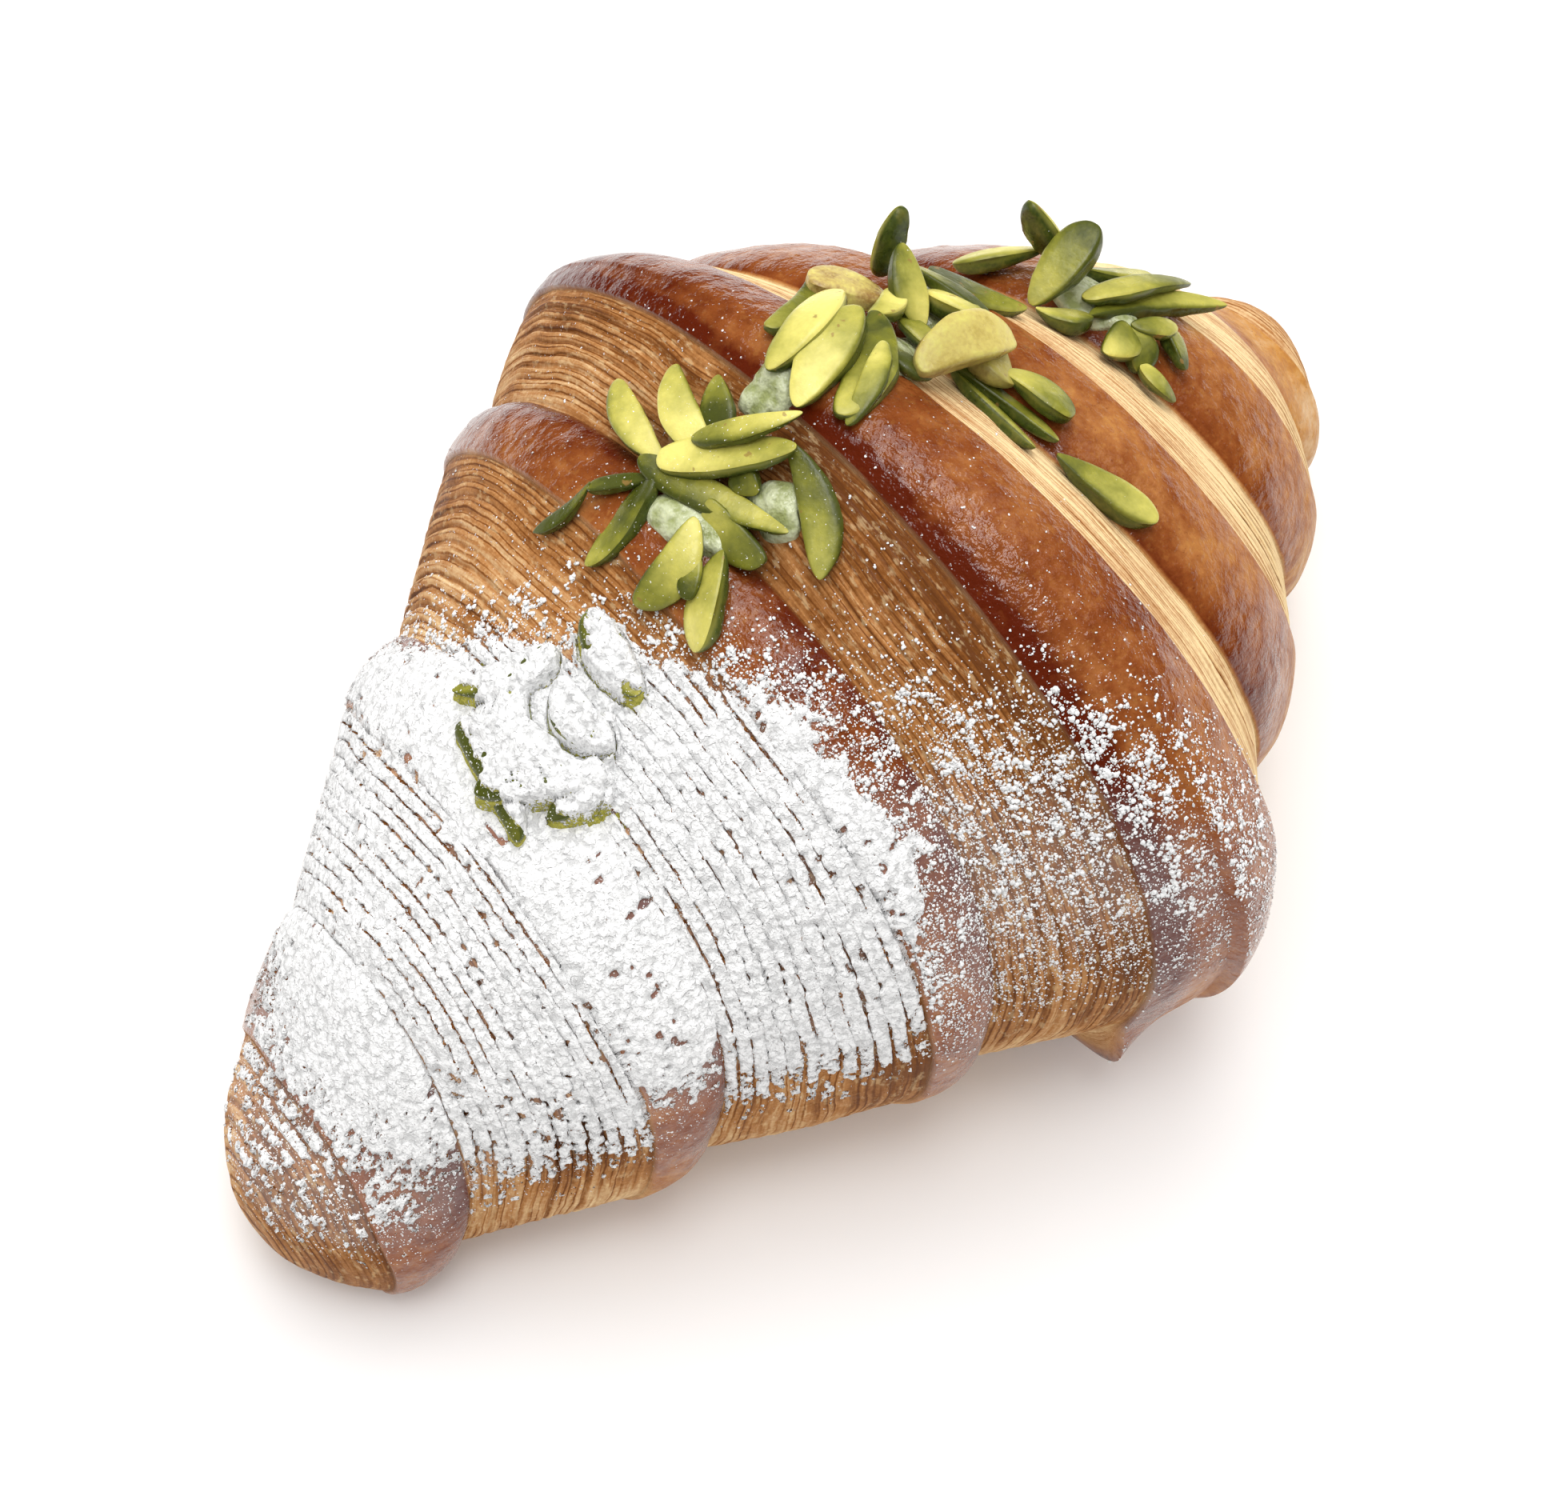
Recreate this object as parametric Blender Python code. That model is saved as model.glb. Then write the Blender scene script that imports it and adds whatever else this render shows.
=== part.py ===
"""A rolled croissant topped with slivered pistachios on cream.

The roll lies along X, its front faces -Y and it rests on z = 0. A place on the crust is given by two
numbers: x, in millimetres along the roll from the middle of its crown band, and turn, the angle round
the roll from its top, positive towards the front. Lift is the height above the crust.
"""
import bmesh
import bpy
import numpy as np

MM = 0.001

# The roll, in millimetres.
LEFT_REACH = 83.5          # from the middle of the crown band to the left tip
RIGHT_REACH = 73.0         # and to the right tip
END_CAP = 8.0              # length of the rounding at each tip
CAP_POWER = 2.3            # 2 is a round end, more is blunter
HALF_WIDTH = 49.8          # widest half-width, under the crown band
CROWN_SOFT = 0.09          # how round the plan is there
HEIGHT = 66.6              # greatest height before the base is flattened
BASE_CUT = 1.4             # the roll has sunk this far into its flat base
WAIST = 0.435              # height of the widest level, as a share of the height
TAPER = {-1: 0.80, 1: 0.81}     # share of the width lost towards the left and right tip
SLIM = {-1: 0.52, 1: 0.51}      # share of the height lost
TIP_DROP = 0.28            # extra share of the height lost close to a tip
BEND = {-1: -1.0, 1: 0.5}       # sideways lean of the tips
BELLY_POWER = 2.35         # below the waist the section is a little squarer than an ellipse

# The dough sheet's cut edges wind round the roll. Each wind shows a glossy band that ends at an edge,
# and beyond the edge a cut face that falls to the next band's groove.
EDGES = {-1: (4.7, 23.4, 48.1, 73.8), 1: (6.2, 23.6, 43.3, 64.6)}   # distance of each edge at the top
EDGE_DRIFT = {-1: (2.2, 2.9, 3.0, 1.8), 1: (2.6, 4.9, 4.7, 2.0)}    # its drift for a radian of turn
CUT_SHARE = {-1: (0.55, 0.60, 0.55), 1: (0.36, 0.40, 0.58)}         # cut face's share of each wind
CUT_GROWTH = 0.12          # how much larger that share is low on the sides
NARROWEST = 0.8            # half-width of the crown band's tail
TURN_LIMIT = np.radians(140)    # past this turn, on the hidden base, the winds run back

# Relief, in millimetres above or below the mean crust.
CREST = 1.25               # a glossy band at its edge
GROOVE = 1.75              # the groove where a band begins
LIP = 0.5                  # step from a band's edge down to its cut face
RIDGE = 0.22               # layers on a cut face
RIDGES = 3
TIP_FALL = 0.6             # depth that the last cut face ends at
CROWN_RISE = 0.7           # the crown band is arched between its edges
CROWN_SWELL = 1.5          # and swells on the right, low at the front
SWELL_TURN = np.radians(84)
FLAP_RISE = 4.2            # a torn corner of the crown band stands off at the front
FLAP_TURN = np.radians(114)
FLAP_SPREAD = np.radians(8)
FADE_FROM = np.radians(125)     # the relief fades out towards the flat base
FADE_OVER = np.radians(25)

# Mesh lines, as shares of each stretch.
CROWN_LINES = (0.45, 0.85, 0.995)
CUT_LINES = (0.03, 0.19, 0.35, 0.52, 0.68, 0.84, 1.0)
BAND_LINES = (0.07, 0.26, 0.58, 0.86, 0.99)
TIP_LINES = (0.05, 0.3, 0.55, 0.76, 0.91, 0.98)
SIDE_ROWS = 34             # mesh rows round the roll above the base
BASE_ROWS = 3              # and across the base

CLEARANCE = 0.35           # between the crust and what lies on it

# Pistachio slivers. Each row is laid by hand: x, turn in degrees and lift of one end, the same for
# the other end, then the sliver's width and its roll about its own length in degrees.
SLIVER_DEPTH = 0.45        # half-thickness of its skin side as a share of the width
SLIVER_FLAT = 0.45         # the cut side stands out this much as far as the skin side
SLIVER_SIDES = 6
SLIVER_STATIONS = (0.04, 0.27, 0.73, 0.96)

LEFT_SLIVERS = (
    (-10.5, -28, 2.0, -14, -15, 2.2, 3.0, 0),
    (-7, -21, 1.5, -11.5, -10, 1.9, 3.4, 0),
    (-6, -15, 1.6, -9.5, -10, 2.2, 3.1, 0),
    (-15, -14, 3.8, -7.5, -1, 3.4, 3.8, 25),
    (-12, -12, 3.3, -5, -3, 2.4, 2.4, 0),
    (-25.5, -26, 1.0, -20, -20, 1.8, 1.6, 0),
    (-20.5, -20, 1.6, -16.5, -14, 2.0, 1.7, 0),
    (-25.5, -14, 1.5, -15.5, -14, 2.6, 3.3, 20),
    (-16, -16, 3.2, -12.5, 4, 2.6, 3.1, 0),
    (-7, -3, 2.0, -13, 10, 1.4, 3.3, 0),
    (-17, -5, 2.8, -25.5, -4, 1.5, 3.7, 0),
    (-15, -6, 3.0, -15.5, 4, 2.2, 3.3, 0),
    (-17.5, 0, 2.4, -25, 6, 1.4, 3.8, -20),
    (-11, -6, 1.8, -11.5, -2, 2.0, 2.5, 0),
    (-19, -3, 1.6, -22.5, 1, 1.4, 2.1, 0),
)
MIDDLE_SLIVERS = (
    (8, -18, 4.0, 13, -12, 3.4, 4.4, 0),
    (-4, -9, 2.6, 8, -13, 4.6, 4.2, 15),
    (-5, -4, 3.0, 6.5, -8, 5.2, 4.6, 10),
    (-3, 0, 1.8, 9, -9, 4.2, 4.2, 0),
    (-3, 1, 1.2, 6, -4, 2.8, 2.2, 0),
    (8.5, -9, 3.6, 14.5, -12, 3.6, 2.4, 0),
    (-0.5, -13, 1.6, 9, -19, 3.6, 2.2, 0),
    (16.5, -19, 1.2, 20, -18, 9.0, 2.8, 0),
    (17.5, -15, 6.5, 13.5, -7, 2.0, 3.4, 0),
    (21.5, -17, 1.6, 26.5, -5, 1.8, 4.1, 0),
    (18, -16, 3.6, 19.5, -3, 2.4, 2.2, 0),
    (17, -11, 2.6, 18.5, -2, 2.8, 3.8, 0),
    (7, 0, 2.2, 18.5, 2, 3.2, 4.6, -10),
    (12.5, -10, 2.8, 12.5, -3, 2.4, 2.2, 0),
    (17.5, -1, 2.2, 15, 6, 1.8, 3.8, 0),
    (16, 4, 1.6, 17.5, 14, 1.6, 3.4, 0),
    (13, -2, 1.7, 14.5, 15, 1.4, 2.5, 0),
    (12.5, -1, 1.6, 11.5, 14, 1.4, 2.6, 15),
    (7, -6, 1.4, 8, 1, 1.5, 2.0, 0),
)
RIGHT_SLIVERS = (
    (29, -26, 1.9, 37, -17, 2.6, 3.0, 0),
    (35.5, -17, 9.0, 37.5, -12, 1.8, 3.7, 0),
    (28.5, -7, 1.6, 38.5, -8, 8.5, 4.3, 0),
    (33.5, -3, 2.6, 47, 4, 4.2, 2.7, 0),
    (32.5, 0, 2.4, 47.5, 13, 5.2, 2.8, 0),
    (37, -10, 2.4, 45.5, -4, 2.4, 2.7, 0),
    (28.5, -6, 1.6, 33, 0, 1.8, 3.2, 0),
    (30, 7, 1.5, 35, 6, 2.2, 3.5, 0),
    (32.5, 13, 1.4, 35.5, 6, 2.4, 3.0, 0),
    (35, 6, 2.6, 39.5, 11, 2.6, 2.3, 0),
    (39, 8, 2.4, 37, 18, 1.4, 2.4, 0),
    (33, 12, 1.7, 33.5, 21, 1.3, 2.2, 0),
)
SUGARED_SLIVERS = (
    (-29, -10, 1.5, -31, 4, 1.6, 3.4, 0),
    (-42, -17, 1.4, -46, 6, 1.4, 2.9, 0),
    (-40.5, -22, 2.0, -32.5, -10, 2.6, 3.5, 0),
    (-42, -13, 3.2, -39.5, 3, 3.4, 3.8, 0),
    (-46, -5, 2.4, -38, 8, 2.8, 4.6, 0),
    (-34, -7, 2.8, -35, 6, 2.6, 3.5, 0),
    (-37, -13, 3.4, -42.5, 4, 3.2, 3.2, 0),
    (-37.5, -18, 2.8, -41, -5, 3.0, 2.9, 0),
    (-43, 7, 1.5, -36.5, 6, 2.2, 3.0, 0),
)
LONE_SLIVER = (13.5, 16, 1.5, 17, 31, 1.5, 3.4, 0)

# Dabs of cream under each heap: middle x and turn, radius along the roll and round it, thickness.
CROWN_CREAM = (
    (-16, -7, 7.0, 9.0, 2.4),
    (-11, 0, 4.5, 5.5, 1.8),
    (-4, -9, 6.0, 4.5, 2.0),
    (8, -7, 10.0, 8.0, 2.4),
    (18, -11, 7.0, 8.5, 2.0),
)
RIGHT_CREAM = ((36, -5, 6.5, 12.0, 2.2),)
SUGARED_CREAM = ((-38, -6, 8.0, 10.5, 3.0),)
CREAM_RINGS = 3
CREAM_SECTORS = 14
CREAM_ROOT = 2.0           # how far it reaches below the crust before it is cut clear

CENTRE_X = (LEFT_REACH - RIGHT_REACH) / 2
CENTRE_Y = 0.9


def by_side(x, values):
    """The left value where x is negative and the right one elsewhere."""
    return np.where(x < 0, values[-1], values[1])


def wound(turn):
    """The turn that drives the winds: it runs back across the hidden base."""
    size = np.abs(turn)
    back = TURN_LIMIT * (np.pi - size) / (np.pi - TURN_LIMIT)
    return np.where(size < TURN_LIMIT, turn, np.sign(turn) * back)


def edge(side, wind, turn):
    """Distance along the roll from the crown's middle to a band's edge."""
    place = EDGES[side][wind] + EDGE_DRIFT[side][wind] * wound(turn)
    return np.maximum(place, NARROWEST) if wind == 0 else place


def groove(side, wind, turn):
    """Distance to the groove where a cut face ends and the next band begins."""
    inner = edge(side, wind, turn)
    outer = edge(side, wind + 1, turn)
    low = np.clip(np.abs(turn) / (np.pi / 2), 0, 1) ** 2
    return inner + (outer - inner) * (CUT_SHARE[side][wind] + CUT_GROWTH * low)


def reach(x):
    return np.where(x < 0, LEFT_REACH, RIGHT_REACH)


def share(x):
    """0 at the crown's middle, 1 where a tip's rounding starts."""
    return np.abs(x) / (reach(x) - END_CAP)


def half_width(x):
    """Straight taper, rounded a little under the crown."""
    soft = np.sqrt(share(x) ** 2 + CROWN_SOFT ** 2) - CROWN_SOFT
    return HALF_WIDTH * (1 - by_side(x, TAPER) * np.minimum(soft, 1))


def height(x):
    """Nearly straight fall from the crown, and a faster one close to the tips."""
    along = np.minimum(share(x), 1)
    near = np.clip((along - 0.78) / 0.22, 0, 1)
    fall = np.sqrt(along ** 2 + 0.04 ** 2) ** 1.15
    return HEIGHT * (1 - by_side(x, SLIM) * fall) * (1 - TIP_DROP * near ** 2 * (3 - 2 * near))


def cap(x):
    """1 along the roll, falling to 0 at a tip on a superellipse."""
    over = np.clip((np.abs(x) - reach(x) + END_CAP) / END_CAP, 0, 1)
    return (1 - over ** CAP_POWER) ** (1 / CAP_POWER)


def between(distance, start, end):
    return np.clip((distance - start) / (end - start), 0, 1)


def cut_face(across):
    """Relief on a cut face, 0 at the edge and 1 in the groove: an even fall with ridged layers."""
    top = CREST - LIP
    return top - (top + GROOVE) * across ** 1.1 + RIDGE * np.sin(2 * np.pi * RIDGES * across)


def band(across):
    """Relief on a glossy band: it swells out of its groove and stays full up to its edge."""
    return -GROOVE + (GROOVE + CREST) * (1 - (1 - across) ** 2.2) ** 0.8


def crown(side, distance, turn):
    """Relief on the crown band: an arch, a swelling at the front right and the torn front corner."""
    limit = edge(side, 0, turn)
    across = np.minimum(distance / limit, 1)
    rise = CREST + CROWN_RISE * (1 - across ** 2) * np.minimum(limit / 5, 1)
    if side > 0:
        return rise + CROWN_SWELL * np.exp(-((turn - SWELL_TURN) / 0.5) ** 2)
    torn = np.exp(-((turn - FLAP_TURN) / FLAP_SPREAD) ** 2)
    return rise + FLAP_RISE * torn * np.clip(across, 0, 1) ** 2


def relief(x, turn):
    """Height of the bands, cut faces and grooves above the mean crust."""
    distance = np.abs(x)
    result = np.zeros(np.broadcast(x, turn).shape)
    for side in (-1, 1):
        rise = crown(side, distance, turn)
        for wind in range(3):
            inner, low = edge(side, wind, turn), groove(side, wind, turn)
            outer = edge(side, wind + 1, turn)
            rise = np.where(distance > inner, cut_face(between(distance, inner, low)), rise)
            rise = np.where(distance > low, band(between(distance, low, outer)), rise)
        last = edge(side, 3, turn)
        top = CREST - LIP
        tip = top - (top + TIP_FALL) * np.clip((distance - last) / END_CAP, 0, 1)
        rise = np.where(distance > last, tip, rise)
        result = np.where((x < 0) == (side < 0), rise, result)
    return result * (1 - np.clip((np.abs(turn) - FADE_FROM) / FADE_OVER, 0, 1))


def crust(x, turn, lift=0.0, flat=True):
    """Points on the crust, or lift above it, as an array whose last axis is x, y, z."""
    x = np.asarray(x, float)
    turn = np.asarray(turn, float)
    wide, tall, round_off = half_width(x), height(x), cap(x)
    sine, cosine = np.sin(turn), np.cos(turn)
    power = np.where(cosine < 0, 2 / BELLY_POWER, 1.0)
    reach_up = np.where(cosine < 0, WAIST, 1 - WAIST) * tall
    out_y, out_z = -sine * reach_up, cosine * wide
    size = np.hypot(out_y, out_z) + 1e-9
    out = relief(x, turn) * np.minimum(round_off * 1.3, 1) + lift
    lean = by_side(x, BEND) * np.minimum(share(x), 1.2) ** 2
    y = lean - np.sign(sine) * np.abs(sine) ** power * wide * round_off + out_y / size * out
    z = WAIST * tall + np.sign(cosine) * np.abs(cosine) ** power * reach_up * round_off
    z = z + out_z / size * out - BASE_CUT
    if flat:
        z = np.maximum(z, 0)
    return np.stack([x + CENTRE_X + 0 * y, y + CENTRE_Y, z], -1)


def crust_frame(x, turn):
    """Unit vectors at a place on the mean crust: along the roll, round it to the front, outwards."""
    step = 0.5
    along = crust(x + step, turn, flat=False) - crust(x - step, turn, flat=False)
    around = crust(x, turn + 0.02, flat=False) - crust(x, turn - 0.02, flat=False)
    along /= np.linalg.norm(along)
    around /= np.linalg.norm(around)
    outward = np.cross(around, along)
    outward /= np.linalg.norm(outward)
    return along, around, outward * np.sign(outward[2] + 1e-9)


def mesh_columns(turn):
    """x of every mesh line along the roll at each turn, from the left tip to the right one."""
    halves = {}
    for side in (-1, 1):
        lines = [edge(side, 0, turn) * part for part in CROWN_LINES]
        for wind in range(3):
            inner, low = edge(side, wind, turn), groove(side, wind, turn)
            outer = edge(side, wind + 1, turn)
            lines += [inner + (low - inner) * part for part in CUT_LINES]
            lines += [low + (outer - low) * part for part in BAND_LINES]
        last = edge(side, 3, turn)
        end = LEFT_REACH if side < 0 else RIGHT_REACH
        lines += [last + (end - last) * part for part in TIP_LINES]
        halves[side] = [side * line for line in lines]
    return np.array(halves[-1][::-1] + [0 * turn] + halves[1])


def mesh_turns():
    """Rows round the roll, close together on the sides and top and few across the base."""
    sides = np.linspace(-TURN_LIMIT, TURN_LIMIT, SIDE_ROWS)
    base = np.linspace(TURN_LIMIT, 2 * np.pi - TURN_LIMIT, BASE_ROWS + 2)[1:-1]
    return np.concatenate([sides, np.where(base > np.pi, base - 2 * np.pi, base)])


def closed_grid(rings, first_pole, last_pole):
    """Vertices and faces of a tube of rings, closed at both ends by a pole."""
    count, sides = rings.shape[:2]
    points = np.vstack([rings.reshape(-1, 3), [first_pole], [last_pole]])
    start, end = count * sides, count * sides + 1
    row = np.arange(sides)
    after = (row + 1) % sides
    faces = []
    for ring in range(count - 1):
        low, high = ring * sides, (ring + 1) * sides
        faces += [(low + a, low + b, high + b, high + a) for a, b in zip(row, after)]
    top = (count - 1) * sides
    faces += [(start, b, a) for a, b in zip(row, after)]
    faces += [(end, top + a, top + b) for a, b in zip(row, after)]
    return points, [tuple(int(i) for i in face) for face in faces]


def new_object(name, points, faces, material=None):
    """A mesh object from points in millimetres, its faces turned outwards."""
    mesh = bpy.data.meshes.new(name)
    mesh.from_pydata((np.asarray(points) * MM).tolist(), [], faces)
    shell = bmesh.new()
    shell.from_mesh(mesh)
    bmesh.ops.recalc_face_normals(shell, faces=shell.faces)
    shell.to_mesh(mesh)
    shell.free()
    if material:
        mesh.materials.append(material)
    item = bpy.data.objects.new(name, mesh)
    bpy.context.scene.collection.objects.link(item)
    return item


def make_material(name, colour, roughness):
    material = bpy.data.materials.new(name)
    material.use_nodes = True
    shader = material.node_tree.nodes["Principled BSDF"]
    shader.inputs["Base Color"].default_value = (*colour, 1)
    shader.inputs["Roughness"].default_value = roughness
    shader.inputs["Metallic"].default_value = 0.0
    return material


def make_roll(name, lift, material=None):
    """The whole roll, or a cutter that stands lift outside it."""
    turn = mesh_turns()
    x = mesh_columns(turn)
    rings = crust(x, turn[None, :], lift, flat=lift == 0)
    poles = []
    for end in (-LEFT_REACH - lift, RIGHT_REACH + lift):
        middle = rings[0 if end < 0 else -1].mean(axis=0)
        poles.append((end + CENTRE_X, middle[1], middle[2]))
    points, faces = closed_grid(rings, *poles)
    return new_object(name, points, faces, material)


def make_sliver(name, row, material=None):
    """A boat-shaped sliver between two places: flat cut face outwards, rounded skin beneath."""
    x0, turn0, lift0, x1, turn1, lift1, width, roll = row
    turn0, turn1 = np.radians(turn0), np.radians(turn1)
    ends = np.array([crust(x0, turn0, lift0, flat=False), crust(x1, turn1, lift1, flat=False)])
    axis = ends[1] - ends[0]
    axis /= np.linalg.norm(axis)
    outward = crust_frame((x0 + x1) / 2, (turn0 + turn1) / 2)[2]
    side = np.cross(axis, outward)
    side /= np.linalg.norm(side)
    outward = np.cross(side, axis)
    tilt = np.radians(roll)
    side, outward = (side * np.cos(tilt) + outward * np.sin(tilt),
                     outward * np.cos(tilt) - side * np.sin(tilt))
    angle = np.linspace(0, 2 * np.pi, SLIVER_SIDES, endpoint=False)
    depth = np.sin(angle) * np.where(np.sin(angle) > 0, SLIVER_FLAT, 1.0) * SLIVER_DEPTH
    rings = []
    for along in SLIVER_STATIONS:
        full = np.sin(np.pi * along) ** 0.4
        middle = ends[0] + (ends[1] - ends[0]) * along
        across = np.cos(angle)[:, None] * side * width / 2 * full
        deep = depth[:, None] * outward * width * full
        rings.append(middle + across + deep)
    points, faces = closed_grid(np.array(rings), ends[0], ends[1])
    return new_object(name, points, faces, material)


def make_cream(name, dab, material=None):
    """A low dome of cream that follows the crust, with its root still inside the roll."""
    x, turn, radius_x, radius_turn, thick = dab
    section = np.hypot(half_width(x), height(x) * (1 - WAIST)) / np.sqrt(2)
    angle = np.linspace(0, 2 * np.pi, CREAM_SECTORS, endpoint=False)
    uneven = 1 + 0.12 * np.sin(3 * angle + x) + 0.07 * np.sin(5 * angle)
    rings = []
    parts = np.linspace(0.25, 1, CREAM_RINGS)
    for part in parts:
        lift = thick * (1 - part ** 2) ** 0.5
        spot_x = x + radius_x * part * uneven * np.cos(angle)
        spot_turn = np.radians(turn) + radius_turn / section * part * uneven * np.sin(angle)
        rings.append(crust(spot_x, spot_turn, lift, flat=False))
    rings.append(crust(spot_x, spot_turn, -CREAM_ROOT, flat=False))
    top = crust(x, np.radians(turn), thick, flat=False)
    root = crust(x, np.radians(turn), -2 * CREAM_ROOT, flat=False)
    points, faces = closed_grid(np.array(rings), top, root)
    return new_object(name, points, faces, material)


def apply_modifiers(item):
    """Put the evaluated mesh in place of the object's own."""
    graph = bpy.context.evaluated_depsgraph_get()
    mesh = bpy.data.meshes.new_from_object(item.evaluated_get(graph))
    item.modifiers.clear()
    item.data = mesh


def keep_largest(item):
    """Drop the loose scraps that a cut leaves, keeping the largest body."""
    shell = bmesh.new()
    shell.from_mesh(item.data)
    bmesh.ops.remove_doubles(shell, verts=shell.verts, dist=1e-7)
    left = set(shell.verts)
    bodies = []
    while left:
        body = []
        front = [left.pop()]
        while front:
            vertex = front.pop()
            body.append(vertex)
            near = [line.other_vert(vertex) for line in vertex.link_edges]
            fresh = [other for other in near if other in left]
            left.difference_update(fresh)
            front += fresh
        bodies.append(body)
    bodies.sort(key=len)
    for body in bodies[:-1]:
        bmesh.ops.delete(shell, geom=body, context="VERTS")
    bmesh.ops.recalc_face_normals(shell, faces=shell.faces)
    shell.to_mesh(item.data)
    shell.free()


def remove(items):
    for item in list(items):
        bpy.data.objects.remove(item, do_unlink=True)


def cut_clear(item, cutter):
    """Cut away what reaches into the roll, leaving the clearance."""
    cut = item.modifiers.new("clear", "BOOLEAN")
    cut.operation = "DIFFERENCE"
    cut.solver = "MANIFOLD"
    cut.object = cutter
    apply_modifiers(item)
    keep_largest(item)


def make_heap(name, dabs, slivers, cutter, material):
    """Cream with its slivers fused on by one union, cut clear of the roll."""
    heap = make_cream(name, dabs[0], material)
    group = bpy.data.collections.new(name + "_pieces")
    bpy.context.scene.collection.children.link(group)
    pieces = [make_sliver("sliver", row) for row in slivers]
    pieces += [make_cream("dab", dab) for dab in dabs[1:]]
    for piece in pieces:
        bpy.context.scene.collection.objects.unlink(piece)
        group.objects.link(piece)
    union = heap.modifiers.new("fused", "BOOLEAN")
    union.operation = "UNION"
    union.solver = "MANIFOLD"
    union.operand_type = "COLLECTION"
    union.collection = group
    apply_modifiers(heap)
    remove(group.objects)
    bpy.data.collections.remove(group)
    cut_clear(heap, cutter)
    return heap


def shade(item, angle):
    item.data.shade_smooth()
    item.data.set_sharp_from_angle(angle=np.radians(angle))


def main():
    remove(bpy.data.objects)
    crust_finish = make_material("baked_crust", (0.42, 0.17, 0.05), 0.45)
    nut_finish = make_material("pistachio", (0.42, 0.44, 0.07), 0.5)
    sugar_finish = make_material("powdered_sugar", (0.86, 0.87, 0.88), 0.9)
    roll = make_roll("croissant", 0.0, crust_finish)
    shade(roll, 40)
    cutter = make_roll("cutter", CLEARANCE)
    heaps = (("topping_crown", CROWN_CREAM, LEFT_SLIVERS + MIDDLE_SLIVERS, nut_finish),
             ("topping_right", RIGHT_CREAM, RIGHT_SLIVERS, nut_finish),
             ("topping_sugared", SUGARED_CREAM, SUGARED_SLIVERS, sugar_finish))
    for name, dabs, slivers, finish in heaps:
        shade(make_heap(name, dabs, slivers, cutter, finish), 35)
    lone = make_sliver("sliver_lone", LONE_SLIVER, nut_finish)
    cut_clear(lone, cutter)
    shade(lone, 35)
    remove([cutter])


main()
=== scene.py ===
"""The looks of a rolled croissant with pistachio slivers, cream and powdered sugar.

The roll lies along X, its front faces -Y and it rests on z = 0. Shapes are worked out in millimetres.
A place on the crust is given by two numbers: x, along the roll from the middle of its crown band, and
turn, the angle round the roll from its top, positive towards the front. Lift is the height above it.
"""
from itertools import combinations

import bpy
import numpy as np
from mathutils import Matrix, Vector


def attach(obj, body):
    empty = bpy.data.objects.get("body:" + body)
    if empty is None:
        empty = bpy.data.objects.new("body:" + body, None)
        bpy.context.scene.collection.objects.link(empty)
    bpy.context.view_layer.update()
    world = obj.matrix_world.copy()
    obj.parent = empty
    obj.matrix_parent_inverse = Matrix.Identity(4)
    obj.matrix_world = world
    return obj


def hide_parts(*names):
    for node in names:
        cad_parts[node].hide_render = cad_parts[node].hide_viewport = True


bl_info = {
    "name": "Pistachio Croissant",
    "version": (1, 0, 0),
    "blender": (4, 5, 0),
    "location": "3D View > Sidebar > Croissant",
    "description": "Builds a croissant with banded crust, pistachio slivers, cream and powdered sugar",
    "category": "Add Mesh",
}

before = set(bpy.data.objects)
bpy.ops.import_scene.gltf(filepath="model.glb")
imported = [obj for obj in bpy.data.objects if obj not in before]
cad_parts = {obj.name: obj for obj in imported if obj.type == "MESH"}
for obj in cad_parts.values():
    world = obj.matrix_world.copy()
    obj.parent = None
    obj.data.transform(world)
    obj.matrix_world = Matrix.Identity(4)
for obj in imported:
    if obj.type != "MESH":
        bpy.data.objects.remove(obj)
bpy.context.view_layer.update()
MM = 0.001
SIDES = (-1, 1)
CROWN, BAND, CUT, TIP = range(4)

# The roll as its solid has it: lengths in millimetres, turns in radians, the rest shares and powers.
# Where the two halves differ, -1 names the left and 1 the right.
REACH = {-1: 83.5, 1: 73.0}
CENTRE_X = (REACH[-1] - REACH[1]) / 2
CENTRE_Y = 0.9
END_CAP = 8.0
CAP_POWER = 2.3
HALF_WIDTH = 49.8
TAPER = {-1: 0.80, 1: 0.81}
CROWN_SOFT = 0.09
HEIGHT = 66.6
SLIM = {-1: 0.52, 1: 0.51}
PEAK_SOFT = 0.04
FALL_POWER = 1.15
TIP_DROP = 0.28
DROP_FROM = 0.78
DROP_OVER = 0.22
BASE_CUT = 1.4
WAIST = 0.435
BELLY_POWER = 2.35
BEND = {-1: -1.0, 1: 0.5}
BEND_LIMIT = 1.2
EDGES = {-1: (4.7, 23.4, 48.1, 73.8), 1: (6.2, 23.6, 43.3, 64.6)}
EDGE_DRIFT = {-1: (2.2, 2.9, 3.0, 1.8), 1: (2.6, 4.9, 4.7, 2.0)}
NARROWEST = 0.8
TURN_LIMIT = np.radians(140)
CUT_SHARE = {-1: (0.55, 0.60, 0.55), 1: (0.36, 0.40, 0.58)}
CUT_GROWTH = 0.12
# Wavers of an edge: size, pace round the roll, and how many times the edge's own start it begins at.
WAVERS = ((0.30, 2.3, 1), (0.16, 5.3, 2))
WAVER_STARTS = (1.7, 2.1)
CROWN_WAVER = 0.4
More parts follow.
